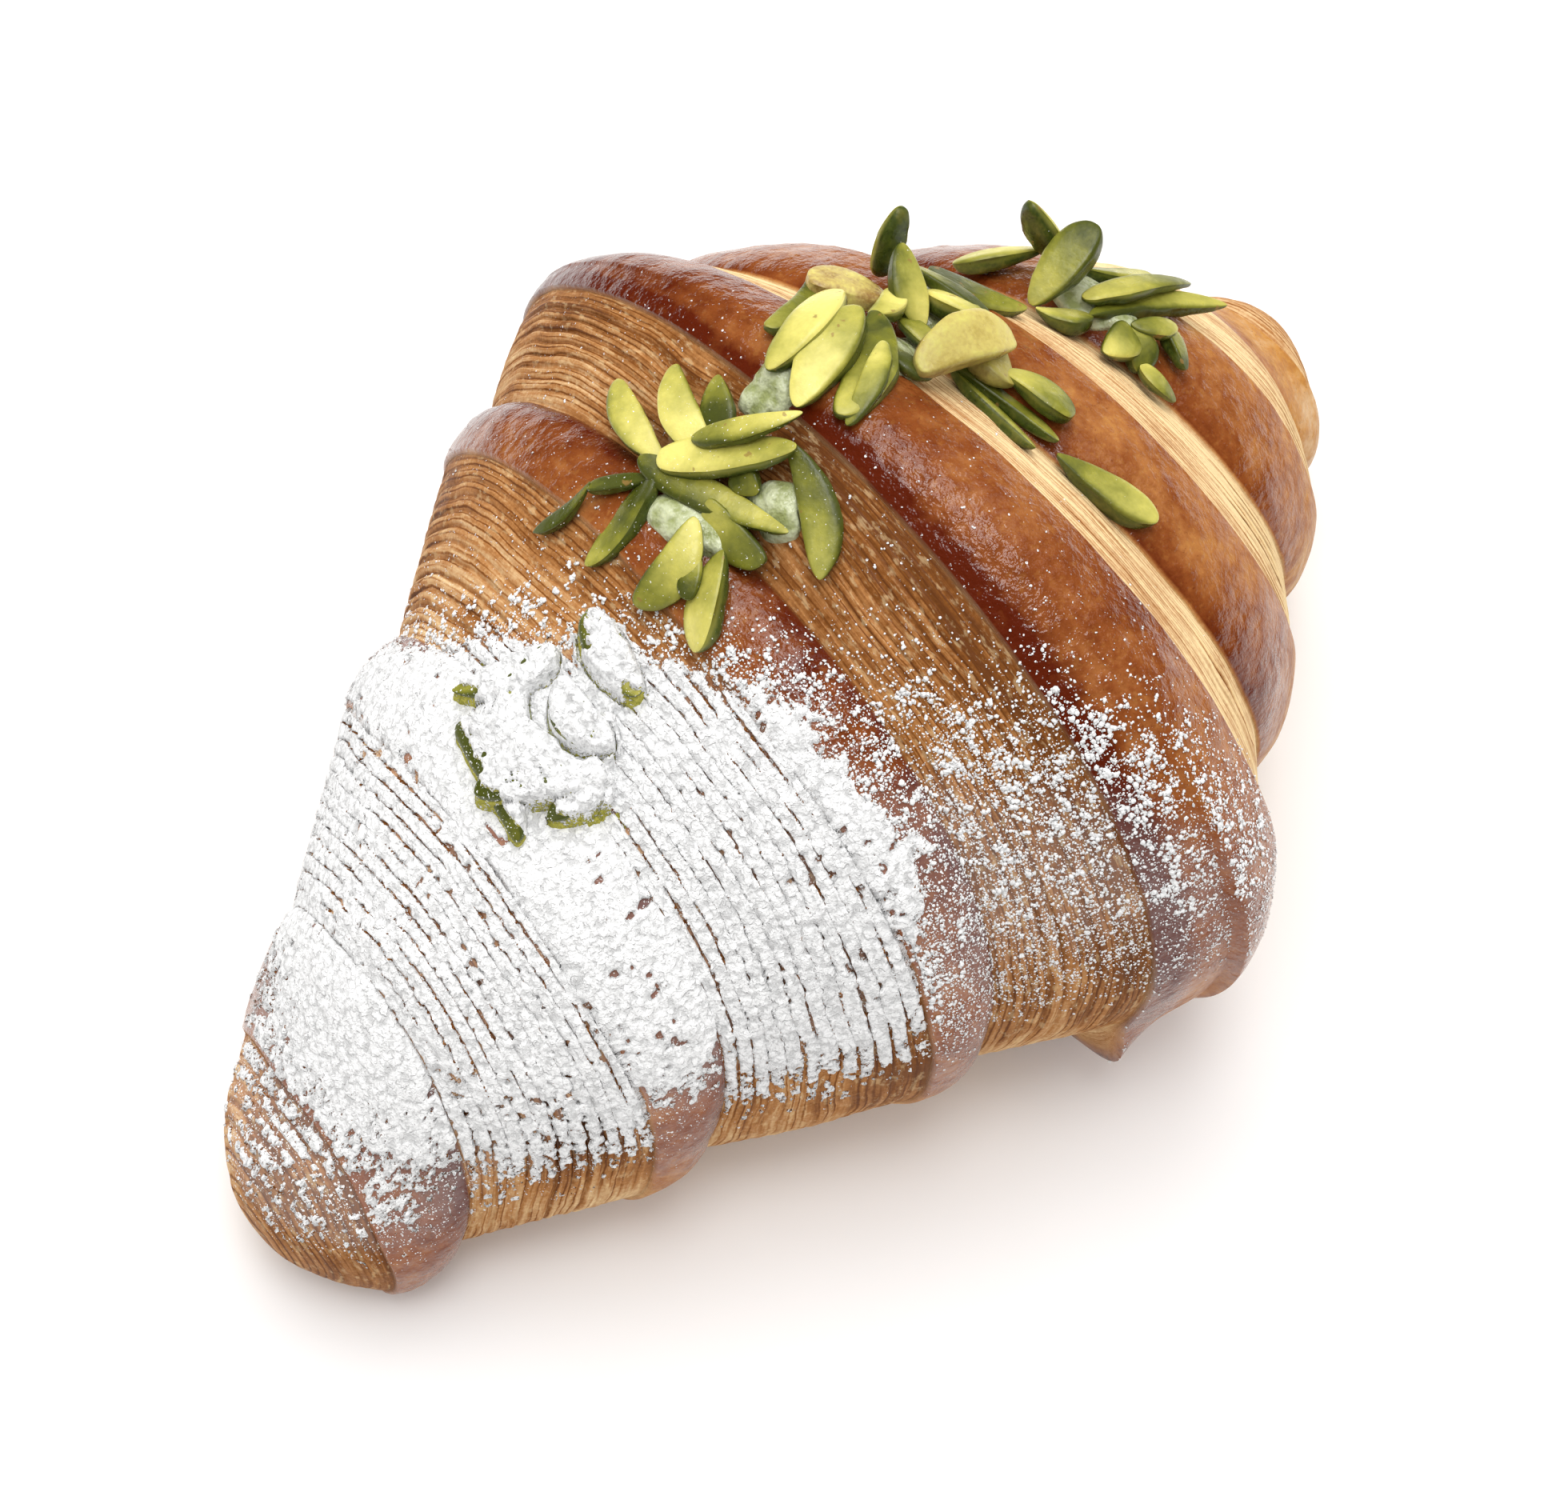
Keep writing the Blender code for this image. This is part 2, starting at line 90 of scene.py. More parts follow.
# Heights over the mean surface, and the powers and spreads of their rises. They fade where a turn
# passes FADE_FROM, and at the end of a tip.
CREST = 1.25
GROOVE = 1.75
LIP = 0.5
TIP_FALL = 0.6
CUT_POWER = 1.1
BAND_STEEP = 2.2
BAND_ROUND = 0.8
CROWN_RISE = 0.7
ARCH_WIDTH = 5
CROWN_SWELL = 1.5
SWELL_TURN = np.radians(84)
SWELL_SPREAD = 0.5
FLAP_RISE = 4.2
FLAP_TURN = np.radians(114)
FLAP_SPREAD = np.radians(8)
FADE_FROM = np.radians(125)
FADE_OVER = np.radians(25)
TIP_CALM = 1.3

# Layers that show on each cut face, counted on the photograph from the crown outwards.
LAYERS = {-1: (10, 12, 12, 7), 1: (7, 9, 12, 6)}
# How deep the creases between layers are on each cut face, 1 the deepest.
CREASES = {-1: (0.60, 0.85, 1.0, 0.8), 1: (0.75, 0.75, 0.65, 0.30)}
# How brown each cut face and each glossy band is baked, 0 pale to 1 dark.
CUT_BAKE = {-1: (0.56, 0.50, 0.42, 0.52), 1: (0.02, 0.05, 0.10, 0.24)}
BAND_BAKE = {-1: (0.72, 0.66, 0.64), 1: (0.56, 0.52, 0.44)}
# Painted shade on a cut face under the raised edge beside it, and how much paler it is at the back.
LEE_SHADE = {-1: 0.24, 1: 0.08}
BACK_PALE = {-1: 0.28, 1: 0.0}
# How brown the crown is, how much browner at its left edge and its back, how much layers differ, how
# pale the torn flap is, and how pale the crown and the rest are near the base.
CROWN_BAKE = 0.58
CROWN_EDGE_BAKE = 0.40
CROWN_BACK_BAKE = 0.26
LAYER_CONTRAST = 0.09
FLAP_PALE = 0.30
CROWN_LOW_PALE = 0.1
LOW_PALE = 0.6

# Noises of the crust and, last, of the sugar's borders. Each row gives a weight, a stretch of space, a
# size in millimetres and a seed.
WANDER = ((0.60, (0.25, 1, 1), 15.0, 1), (0.26, 1, 6.0, 2))
WAXING = ((0.8, (1, 0.6, 0.6), 5.0, 3),)
LOW_LUMPS = ((0.26, 1, 11.0, 5), (0.12, 1, 4.5, 6))
WRINKLES = ((0.045, (1.0, 0.5, 0.5), 1.3, 7),)
FIBRES = ((0.06, (1, 0.35, 0.35), 0.7, 9),)
PATCHES = ((0.14, 1, 13.0, 11), (0.08, 1, 4.0, 12))
BORDER_WAVER = ((1.5, (1, 1, 0.2), 7.0, 21), (0.9, 1, 2.4, 22))
LAYER_SEED = 4
LATTICE = 32


# ---------------------------------------------------------------- numbers

def table(seed):
    """A cubic lattice of random values from -1 to 1."""
    return np.random.default_rng(seed).random((LATTICE,) * 3) * 2 - 1


def noise(points, size, seed):
    """Smooth value noise from -1 to 1: random values on a cubic lattice of the given size, blended
    between the eight nearest by a smoothstep of the distance to them."""
    values = table(seed)
    spot = np.asarray(points) / size + 100.0
    cell = np.floor(spot).astype(int)
    part = spot - cell
    part = part * part * (3 - 2 * part)
    result = 0.0
    for corner in np.ndindex(2, 2, 2):
        wx, wy, wz = (part[..., i] if step else 1 - part[..., i] for i, step in enumerate(corner))
        x, y, z = ((cell[..., i] + step) % LATTICE for i, step in enumerate(corner))
        result = result + wx * wy * wz * values[x, y, z]
    return result


def noises(points, rows, base=0.0):
    """The base plus each row's weight times its noise."""
    return sum((weight * noise(points * stretch, size, seed)
                for weight, stretch, size, seed in rows), base)


def smooth(value, start, end):
    """0 before start, 1 after end, and a smoothstep between."""
    part = between(value, start, end)
    return part * part * (3 - 2 * part)


def between(value, start, end):
    """0 before start, 1 after end, and a straight rise between."""
    return np.clip((value - start) / (end - start), 0, 1)


def bell(value, middle, spread):
    """1 in the middle, falling off on both sides as a Gaussian does."""
    return np.exp(-((value - middle) / spread) ** 2)


def by_side(x, values):
    """The left half's value or the right half's."""
    return np.where(x < 0, values[-1], values[1])


# ---------------------------------------------------------------- the roll

def wound(turn):
    """The turn that drives the winds: it runs back across the hidden base."""
    size = np.abs(turn)
    back = TURN_LIMIT * (np.pi - size) / (np.pi - TURN_LIMIT)
    return np.where(size < TURN_LIMIT, turn, np.sign(turn) * back)


def edge(side, wind, turn):
    """Distance from the crown's middle to a band's edge: a straight drift with a slight waver."""
    way = wound(turn)
    place = EDGES[side][wind] + EDGE_DRIFT[side][wind] * way
    start = side * WAVER_STARTS[0] + wind * WAVER_STARTS[1]
    waver = sum(size * np.sin(pace * way + times * start) for size, pace, times in WAVERS)
    place = place + waver * (CROWN_WAVER if wind == 0 else 1)
    return np.maximum(place, NARROWEST) if wind == 0 else place


def groove(side, wind, turn):
    """Distance to the groove where a cut face ends and the next band begins."""
    inner = edge(side, wind, turn)
    outer = edge(side, wind + 1, turn)
    low = np.clip(np.abs(turn) / (np.pi / 2), 0, 1) ** 2
    return inner + (outer - inner) * (CUT_SHARE[side][wind] + CUT_GROWTH * low)


def stretch_edges(side, number, turn):
    """Distances to both edges of a stretch. Counted outwards, 0 is half the crown, then cut face and
    band take turns, and 7 is the tip."""
    wind = (number - 1) // 2
    if number == 0:
        return 0 * turn, edge(side, 0, turn)
    if number == 7:
        return edge(side, 3, turn), 0 * turn + REACH[side]
    if number % 2:
        return edge(side, wind, turn), groove(side, wind, turn)
    return groove(side, wind, turn), edge(side, wind + 1, turn)


def share(x):
    """0 at the crown's middle, 1 where a tip's rounding starts."""
    return np.abs(x) / (by_side(x, REACH) - END_CAP)


def half_width(x):
    """Straight taper, rounded a little under the crown."""
    soft = np.sqrt(share(x) ** 2 + CROWN_SOFT ** 2) - CROWN_SOFT
    return HALF_WIDTH * (1 - by_side(x, TAPER) * np.minimum(soft, 1))


def height(x):
    """Nearly straight fall from the crown, and a faster one close to the tips."""
    along = np.minimum(share(x), 1)
    near = np.clip((along - DROP_FROM) / DROP_OVER, 0, 1)
    fall = np.sqrt(along ** 2 + PEAK_SOFT ** 2) ** FALL_POWER
    return HEIGHT * (1 - by_side(x, SLIM) * fall) * (1 - TIP_DROP * near ** 2 * (3 - 2 * near))


def cap(x):
    """1 along the roll, falling to 0 at a tip on a superellipse."""
    over = np.clip((np.abs(x) - by_side(x, REACH) + END_CAP) / END_CAP, 0, 1)
    return (1 - over ** CAP_POWER) ** (1 / CAP_POWER)


def lean(x):
    """How far the roll bends sideways: with the square of the share along it."""
    return by_side(x, BEND) * np.minimum(share(x), BEND_LIMIT) ** 2


def mean_crust(x, turn, out, flat=True):
    """The roll's mean surface, a tapered half ellipse over a squarer belly, moved outwards by out."""
    wide, tall, round_off = half_width(x), height(x), cap(x)
    sine, cosine = np.sin(turn), np.cos(turn)
    power = np.where(cosine < 0, 2 / BELLY_POWER, 1.0)
    reach_up = np.where(cosine < 0, WAIST, 1 - WAIST) * tall
    out_y, out_z = -sine * reach_up, cosine * wide
    size = np.hypot(out_y, out_z) + 1e-9
    y = lean(x) - np.sign(sine) * np.abs(sine) ** power * wide * round_off + out_y / size * out
    z = WAIST * tall + np.sign(cosine) * np.abs(cosine) ** power * reach_up * round_off
    z = z + out_z / size * out - BASE_CUT
    if flat:
        z = np.maximum(z, 0)
    return np.stack([x + CENTRE_X + 0 * y, y + CENTRE_Y + 0 * x, z], -1)


def stretches(x, turn):
    """The kind of crust at each place, how far across it the place is, and its wind."""
    x, turn = np.broadcast_arrays(np.asarray(x, float), np.asarray(turn, float))
    distance = np.abs(x)
    kind = np.full(x.shape, CROWN)
    part = np.zeros(x.shape)
    wind = np.zeros(x.shape, int)
    for side in SIDES:
        here = (x < 0) == (side < 0)
        part = np.where(here, np.minimum(distance / edge(side, 0, turn), 1), part)
        for number in range(1, 8):
            inner, outer = stretch_edges(side, number, turn)
            past = here & (distance > inner)
            own_kind = TIP if number == 7 else CUT if number % 2 else BAND
            kind = np.where(past, own_kind, kind)
            part = np.where(past, between(distance, inner, outer), part)
            wind = np.where(past, (number - 1) // 2, wind)
    return kind, part, wind


def rough_relief(x, turn, kind, part):
    """Bands, cut faces and grooves without their fine detail."""
    top = CREST - LIP
    limit = by_side(x, {side: edge(side, 0, turn) for side in SIDES})
    torn = FLAP_RISE * bell(turn, FLAP_TURN, FLAP_SPREAD) * part ** 2
    swell = CROWN_SWELL * bell(turn, SWELL_TURN, SWELL_SPREAD)
    arch = CREST + CROWN_RISE * (1 - part ** 2) * np.minimum(limit / ARCH_WIDTH, 1)
    crown = arch + np.where(x < 0, torn, swell)
    cut = top - (top + GROOVE) * part ** CUT_POWER
    glossy = -GROOVE + (GROOVE + CREST) * (1 - (1 - part) ** BAND_STEEP) ** BAND_ROUND
    over = part * by_side(x, {side: REACH[side] - EDGES[side][3] for side in SIDES})
    tip = top - (top + TIP_FALL) * np.clip(over / END_CAP, 0, 1)
    return np.select([kind == CROWN, kind == BAND, kind == CUT], [crown, glossy, cut], tip)


class Skin:
    """The crust's fine surface at arrays of x and turn, with what its finish needs.

    A cut face carries ridges: their phase runs evenly across it and wanders along it, their crests are
    broad and the creases between them narrow. A glossy band carries low lumps and wrinkles."""

    def __init__(self, x, turn):
        self.x, self.turn = x, turn = np.broadcast_arrays(np.asarray(x, float), turn)
        self.kind, self.part, self.wind = stretches(x, turn)
        self.laminated = (self.kind == CUT) | (self.kind == TIP)
        ground = mean_crust(x, turn, 0.0, flat=False)
        self.ridges(ground)
        out = rough_relief(x, turn, self.kind, self.part) + self.detail(ground)
        fade = 1 - np.clip((np.abs(turn) - FADE_FROM) / FADE_OVER, 0, 1)
        out = out * fade * np.minimum(cap(x) * TIP_CALM, 1)
        self.points = mean_crust(x, turn, out)

    def by_wind(self, values):
        """The value of each place's own wind; a band past the last takes the last one's."""
        return by_side(self.x, {side: np.choose(self.wind, values[side], mode="clip") for side in SIDES})

    def ridges(self, ground):
        """Phase across the layers, and how deep the crease at each whole phase is. Every layer has its
        own depth, every second one fades low down, and all of them wax and wane along the roll."""
        x, turn, part = self.x, self.turn, self.part
        inside = np.sin(np.pi * np.clip(part, 0, 1)) ** 0.5
        self.phase = self.by_wind(LAYERS) * part + noises(ground, WANDER) * inside
        layer = np.round(self.phase).astype(int)
        self.across = np.abs(self.phase - layer)
        layer_table = table(LAYER_SEED)
        own = 0.5 + 0.5 * layer_table[layer % LATTICE, self.wind, (x < 0) * 7]
        paired = smooth(ground[..., 2], 21, 11) * (layer % 2)
        waxing = np.clip(noises(ground, WAXING, 0.75), 0, 1.3)
        steep = 0.35 + 0.65 * smooth(np.abs(turn), 0.2, 1.1)
        depth = (0.35 + 0.65 * own) * waxing * steep * (1 - 0.8 * paired)
        depth = depth * (1 - 0.5 * smooth(turn, 0.9, 1.4))
        self.depth = np.where(self.laminated, depth * self.by_wind(CREASES) * inside, 0)
        crease = 1 - smooth(self.across, 0.0, 0.34)
        self.ridge = 0.75 * self.depth * (0.3 - crease)
        self.layer_tone = np.where(self.laminated, layer_table[layer % LATTICE, self.wind, 3], 0)

    def detail(self, ground):
        """Ridges and fibres on the cut faces, wrinkles and blisters on the bands, low lumps on both."""
        low = noises(ground, LOW_LUMPS)
        blister = 0.12 * smooth(noise(ground, 2.6, 8), 0.45, 0.85)
        return np.where(self.laminated, self.ridge + noises(ground, FIBRES) + low,
                        low + noises(ground, WRINKLES) + blister)

    def steps(self):
        """Steps from one grid point to the next, along the roll and round it."""
        return np.gradient(self.points, axis=0), np.gradient(self.points, axis=1)

    def normals(self):
        """Unit normals of a grid whose first axis runs along the roll and second round it."""
        along, around = self.steps()
        normal = np.cross(around, along)
        return normal / (np.linalg.norm(normal, axis=-1, keepdims=True) + 1e-9)

    def baking(self):
        """How brown the crust is, 0 pale to 1 dark, with painted shade in places.

        Cut faces and bands start from their own browning. Painted shade darkens a cut face towards the
        raised edge beside it, and a band towards the groove that it rises from. The crown darkens towards
        its left edge and its back. All of it pales low down, and the torn flap is pale."""
        x, turn, part, kind = self.x, self.turn, self.part, self.kind
        # Painted shade under the raised edge beside a cut face, less a paling at the back.
        shade = by_side(x, LEE_SHADE) * (1 - smooth(part, 0.0, 0.75))
        shade = shade - by_side(x, BACK_PALE) * smooth(-turn, 0.2, 0.8)
        cut = self.by_wind(CUT_BAKE) + shade + LAYER_CONTRAST * self.layer_tone
        # A band takes painted shade towards the groove that it rises from.
        band = self.by_wind(BAND_BAKE) + 0.30 * (1 - part) ** 3 - 0.06 * smooth(part, 0.5, 0.9)
        crown = CROWN_BAKE + np.where(x < 0, CROWN_EDGE_BAKE * smooth(part, 0.38, 0.82), -0.02 * part)
        crown = crown + CROWN_BACK_BAKE * smooth(-turn, 0.15, 0.6)
        tone = noises(self.points, PATCHES, np.select([kind == CROWN, kind == BAND], [crown, band], cut))
        tone = tone - FLAP_PALE * bell(turn, FLAP_TURN, 2 * FLAP_SPREAD) * (x < 0) * (self.wind == 0)
        z = self.points[..., 2]
        low = smooth(z, 25, 8) * np.where(kind == CROWN, CROWN_LOW_PALE, LOW_PALE)
        low = np.where((x > 9) & (kind == BAND), 0.75 * smooth(z, 40, 14), low)
        low = low * (1 - 0.8 * smooth(x, -55, -68))
        return np.clip(tone * (1 - low), -0.1, 1)


# ---------------------------------------------------------------- how sugar falls

# How level a place has to be for sugar to start to stay there, and for all of it to stay.
HOLD_ON_LAYERS = (-0.35, 0.62)
HOLD_ON_GLOSS = (0.12, 0.74)
# Where x runs into the left tip, which less of it reaches.
TIP_FROM_TO = (-54, -72)
TIP_LOSS = 0.56
# Borders of the sifted sugar in plan. A slanting one gives a sum of one axis and the slope times the
# other, the slope, and what turns that sum into millimetres.
DENSE_SLANT = (-23.3, 0.457, 1.10)
SCATTER_SLANT = (-24.0, 1.19, 1.554)
DENSE_ACROSS = -17.2
DRAWN_IN_FROM = -29
DRAWN_IN = 0.62


def plan_distance(points):
    """How far inside the sifted part each place lies, seen from above: dense and scattered.

    Straight borders bound the dense part, a slanting one and one across the roll that draws in towards
    the front, and a third slanting border bounds the scattered part on its right."""
    x, y = points[..., 0], points[..., 1]
    waver = noises(points, BORDER_WAVER)
    border, slope, unit = DENSE_SLANT
    slanting = (border - (x + slope * y)) / unit
    across = DENSE_ACROSS - x - DRAWN_IN * np.maximum(DRAWN_IN_FROM - y, 0)
    border, slope, unit = SCATTER_SLANT
    scattered = (border - (y + slope * x)) / unit + waver
    return np.minimum(slanting, across) + waver, scattered


def facing_up(skin, normals):
    """Sugar falls from above: less of it stays on steep places, least on steep glossy ones."""
    x, z = skin.points[..., 0], skin.points[..., 2]
    hold = np.where(skin.laminated, *(smooth(normals[..., 2], *hold)
                                      for hold in (HOLD_ON_LAYERS, HOLD_ON_GLOSS)))
    end = smooth(x, *TIP_FROM_TO)
    low = smooth(z, 6 - 6 * end, 38 - 12 * end)
    return hold * low * (1 - TIP_LOSS * end)


# ---------------------------------------------------------------- meshes

def grid_faces(rows, sides, closed=True, start=0):
    """Quads between neighbouring rows of a grid that starts at the given point; each row closes on
    itself if closed."""
    first = start + np.arange(rows - 1)[:, None] * sides
    place = np.arange(sides if closed else sides - 1)[None, :]
    after = (place + 1) % sides
    quads = [first + place, first + after, first + sides + after, first + sides + place]
    return np.stack(quads, -1).reshape(-1, 4)


def fan(pole, ring, turned=False):
    """Triangles from a pole to each step of a closed ring of points."""
    pair = (ring, np.roll(ring, -1))
    return np.stack([np.full(len(ring), pole), *(pair[::-1] if turned else pair)], -1)


def tube_faces(rows, sides, start=0, turned=False):
    """Quads of a closed grid, and fans to its two poles, which follow the grid's own points."""
    quads = grid_faces(rows, sides, start=start)
    ring, pole = start + np.arange(sides), start + rows * sides
    return [quads[:, ::-1] if turned else quads, fan(pole, ring, not turned),
            fan(pole + 1, ring + (rows - 1) * sides, turned)]


def mesh_object(name, points, faces, attributes=()):
    """A mesh object from points in millimetres and arrays of faces, with float attributes. An
    attribute may leave out the last points, where it is 0."""
    mesh = bpy.data.meshes.new(name)
    points = np.asarray(points, float).reshape(-1, 3) * MM
    corners = np.concatenate([np.asarray(block).ravel() for block in faces])
    totals = np.concatenate([np.full(len(block), block.shape[1]) for block in faces])
    starts = np.concatenate([[0], np.cumsum(totals)[:-1]])
    mesh.vertices.add(len(points))
    mesh.vertices.foreach_set("co", points.astype(np.float32).ravel())
    mesh.loops.add(len(corners))
    mesh.loops.foreach_set("vertex_index", corners.astype(np.int32))
    mesh.polygons.add(len(totals))
    mesh.polygons.foreach_set("loop_start", starts.astype(np.int32))
    mesh.polygons.foreach_set("use_smooth", np.full(len(totals), True))
    mesh.update(calc_edges=True)
    for key, values in dict(attributes).items():
        values = np.asarray(values, np.float32).ravel()
        layer = mesh.attributes.new(key, "FLOAT", "POINT")
        layer.data.foreach_set("value", np.pad(values, (0, len(points) - len(values))))
    mesh.validate()
    item = bpy.data.objects.new(name, mesh)
    bpy.context.scene.collection.objects.link(item)
    return item


def place_piece(item, material, replaced=None):
    """Give a piece its material and body, and hide the part of the solid that it stands for, if any."""
    item.data.materials.append(material)
    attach(item, "root")
    if replaced:
        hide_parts(replaced)


# ---------------------------------------------------------------- materials

# Noises of the finishes: the size of their lumps in millimetres, their detail and their roughness.
NOISES = {
    "blotch": (3.2, 4.0, 0.6), "mottle": (1.1, 4.0, 0.62), "pores": (0.45, 3.0, 0.65),
    "blister": (0.85, 3.0, 0.6), "streak": (0.42, 3.0, 0.6), "streak_group": (1.1, 2.0, 0.5),
    "waver": (2.6, 3.0, 0.55), "dash": (0.55, 3.0, 0.6), "grain": (0.22, 2.0, 0.7),
    "gathering": (1.1, 2.0, 0.6), "wrinkle": (0.85, 4.0, 0.6),
    "coat_grain": (0.17, 3.0, 0.7), "coat_clump": (0.5, 3.0, 0.65), "coat_rag": (0.30, 2.0, 0.6),
    "coat_waver": (0.8, 3.0, 0.65),
    "nut_patch": (2.6, 3.0, 0.55), "nut_fine": (0.45, 3.0, 0.6), "nut_nick": (1.5, 2.0, 0.6),
    "nut_speck": (0.24, 1.0, 0.5),
    "cream_lump": (1.6, 3.0, 0.5),
}
# Along the roll, how far space is drawn out under wrinkles and mottling.
ALONG = (1.0, 0.6, 0.6)
# Metres across the pattern for one layer, and how far streaks and dashes are drawn out along it.
LAYER_STEP = 0.0012
STREAK_STRETCH = 0.055
DASH_STRETCH = 0.33
# Sizes in millimetres of the dots in the haze, and of the lumps of powder and the drift that bends them.
DOT_SIZES = (0.34, 0.19)
POWDER_LUMPS = (0.75, 0.30)
DRIFT_SIZE = 0.5
DRIFT = 0.9


class Finish:
    """A node tree to which nodes are added one call at a time; sockets and constants mix freely."""

    def __init__(self, owner, shader="Principled BSDF"):
        owner.use_nodes = True
        self.owner = owner
        self.tree = owner.node_tree
        self.shader = self.tree.nodes[shader]

    def add(self, kind, inputs, output=0, **settings):
        made = self.tree.nodes.new(kind)
        for key, value in settings.items():
            setattr(made, key, value)
        for socket, value in inputs.items():
            self.feed(made.inputs[socket], value)
        return made.outputs[output]

    def feed(self, socket, value):
        if isinstance(value, bpy.types.NodeSocket):
            self.tree.links.new(value, socket)
        else:
            socket.default_value = value

    def set(self, **inputs):
        """Feed the shader's sockets and give back the material."""
        for key, value in inputs.items():
            self.feed(self.shader.inputs[key.replace("_", " ")], value)
        return self.owner

    def place(self, stretch=(1, 1, 1)):
        """The object's own coordinates, stretched."""
        spot = self.add("ShaderNodeTexCoord", {}, "Object")
        return self.add("ShaderNodeMapping", {"Vector": spot, "Scale": stretch})

    def layer_place(self, phase, spot, stretch):
        """A place that runs across the layers with their phase and is drawn out along them."""
        inputs = {axis: self.times(self.add("ShaderNodeSeparateXYZ", {0: spot}, axis), stretch)
                  for axis in ("Y", "Z")}
        return self.add("ShaderNodeCombineXYZ", {"X": self.times(phase, LAYER_STEP), **inputs})

    def attribute(self, name):
        return self.add("ShaderNodeAttribute", {}, "Fac", attribute_name=name)

    def noise(self, spot, name):
        size_mm, detail, rough = NOISES[name]
        inputs = {"Vector": spot, "Scale": 1 / (size_mm * MM), "Detail": detail, "Roughness": rough}
        return self.add("ShaderNodeTexNoise", inputs)

    def cells(self, spot, size_mm, output="Distance"):
        """Cells about size_mm across: the distance to the nearest middle, or a random colour each."""
        return self.add("ShaderNodeTexVoronoi", {"Vector": spot, "Scale": 1 / (size_mm * MM)}, output)

    def math(self, operation, a, b=0.0, c=0.0):
        return self.add("ShaderNodeMath", {0: a, 1: b, 2: c}, operation=operation)

    def times(self, a, b):
        return self.math("MULTIPLY", a, b)

    def line(self, value, factor, base):
        """The value times the factor plus the base."""
        return self.math("MULTIPLY_ADD", value, factor, base)

    def rest(self, value, whole=1.0):
        """What is left of the whole without the value."""
        return self.math("SUBTRACT", whole, value)

    def offset(self, value, noise, amount):
        """value plus amount times how far the noise is from its middle."""
        return self.line(self.math("SUBTRACT", noise, 0.5), amount, value)

    def sharpen(self, value, start, end, low=0.0, high=1.0):
        """low before start, high after end, and a smoothstep between."""
        if start > end:
            start, end, low, high = end, start, high, low
        inputs = {"Value": value, "From Min": start, "From Max": end, "To Min": low, "To Max": high}
        return self.add("ShaderNodeMapRange", inputs, interpolation_type="SMOOTHSTEP")

    def ramp(self, value, *stops):
        """Colours by value; each stop gives a place from 0 to 1 and its colour."""
        made = self.tree.nodes.new("ShaderNodeValToRGB")
        self.feed(made.inputs[0], value)
        band = made.color_ramp
        while len(band.elements) < len(stops):
            band.elements.new(1.0)
        for element, (place, colour) in zip(band.elements, stops):
            element.position = place
            element.color = (*colour, 1)
        return made.outputs[0]

    def mix(self, share, first, second):
        """The first colour where the share is 0, the second where it is 1."""
        made = self.tree.nodes.new("ShaderNodeMix")
        made.data_type = "RGBA"
        for number, value in ((0, share), (6, first), (7, second)):
            plain = number and not isinstance(value, bpy.types.NodeSocket)
            self.feed(made.inputs[number], (*value, 1) if plain else value)
        return made.outputs[2]

    def bump(self, height, distance_mm, strength=1.0, normal=None):
        inputs = {"Height": height, "Distance": distance_mm * MM, "Strength": strength}
        if normal:
            inputs["Normal"] = normal
        return self.add("ShaderNodeBump", inputs)

    def dots(self, spot, size_mm, amount):
        """Round dots, one in each cell of the given size where a random number is below the amount."""
        colour = self.cells(spot, size_mm, "Color")
        pick = self.add("ShaderNodeSeparateXYZ", {0: colour})
        kept = self.sharpen(self.math("SUBTRACT", amount, pick), 0.0, 0.04)
        return self.times(kept, self.sharpen(colour.node.outputs["Distance"], 0.45, 0.33))

    def powder(self, spot, colours):
        """Colour and relief of powder: round lumps of two sizes, with painted shade between them."""
        drift = self.add("ShaderNodeTexNoise", {"Vector": spot, "Scale": 1 / (DRIFT_SIZE * MM),
                                                "Detail": 2.0}, "Color")
        drift = self.add("ShaderNodeVectorMath", {0: drift, "Scale": DRIFT * MM}, operation="SCALE")
        warped = self.add("ShaderNodeVectorMath", {0: spot, 1: drift}, operation="ADD")
        coarse, fine = (self.cells(warped, size) for size in POWDER_LUMPS)
        # Painted shade: the gaps between the lumps are darkened.
        shade = self.sharpen(self.line(fine, 0.5, coarse), 0.60, 1.15)
        colour = self.mix(shade, colours.sugar, [0.70 * part for part in colours.sugar])
        relief = self.bump(self.times(coarse, -1.0), 0.30, 0.7)
        return colour, self.bump(self.times(fine, -1.0), 0.14, 0.7, relief)


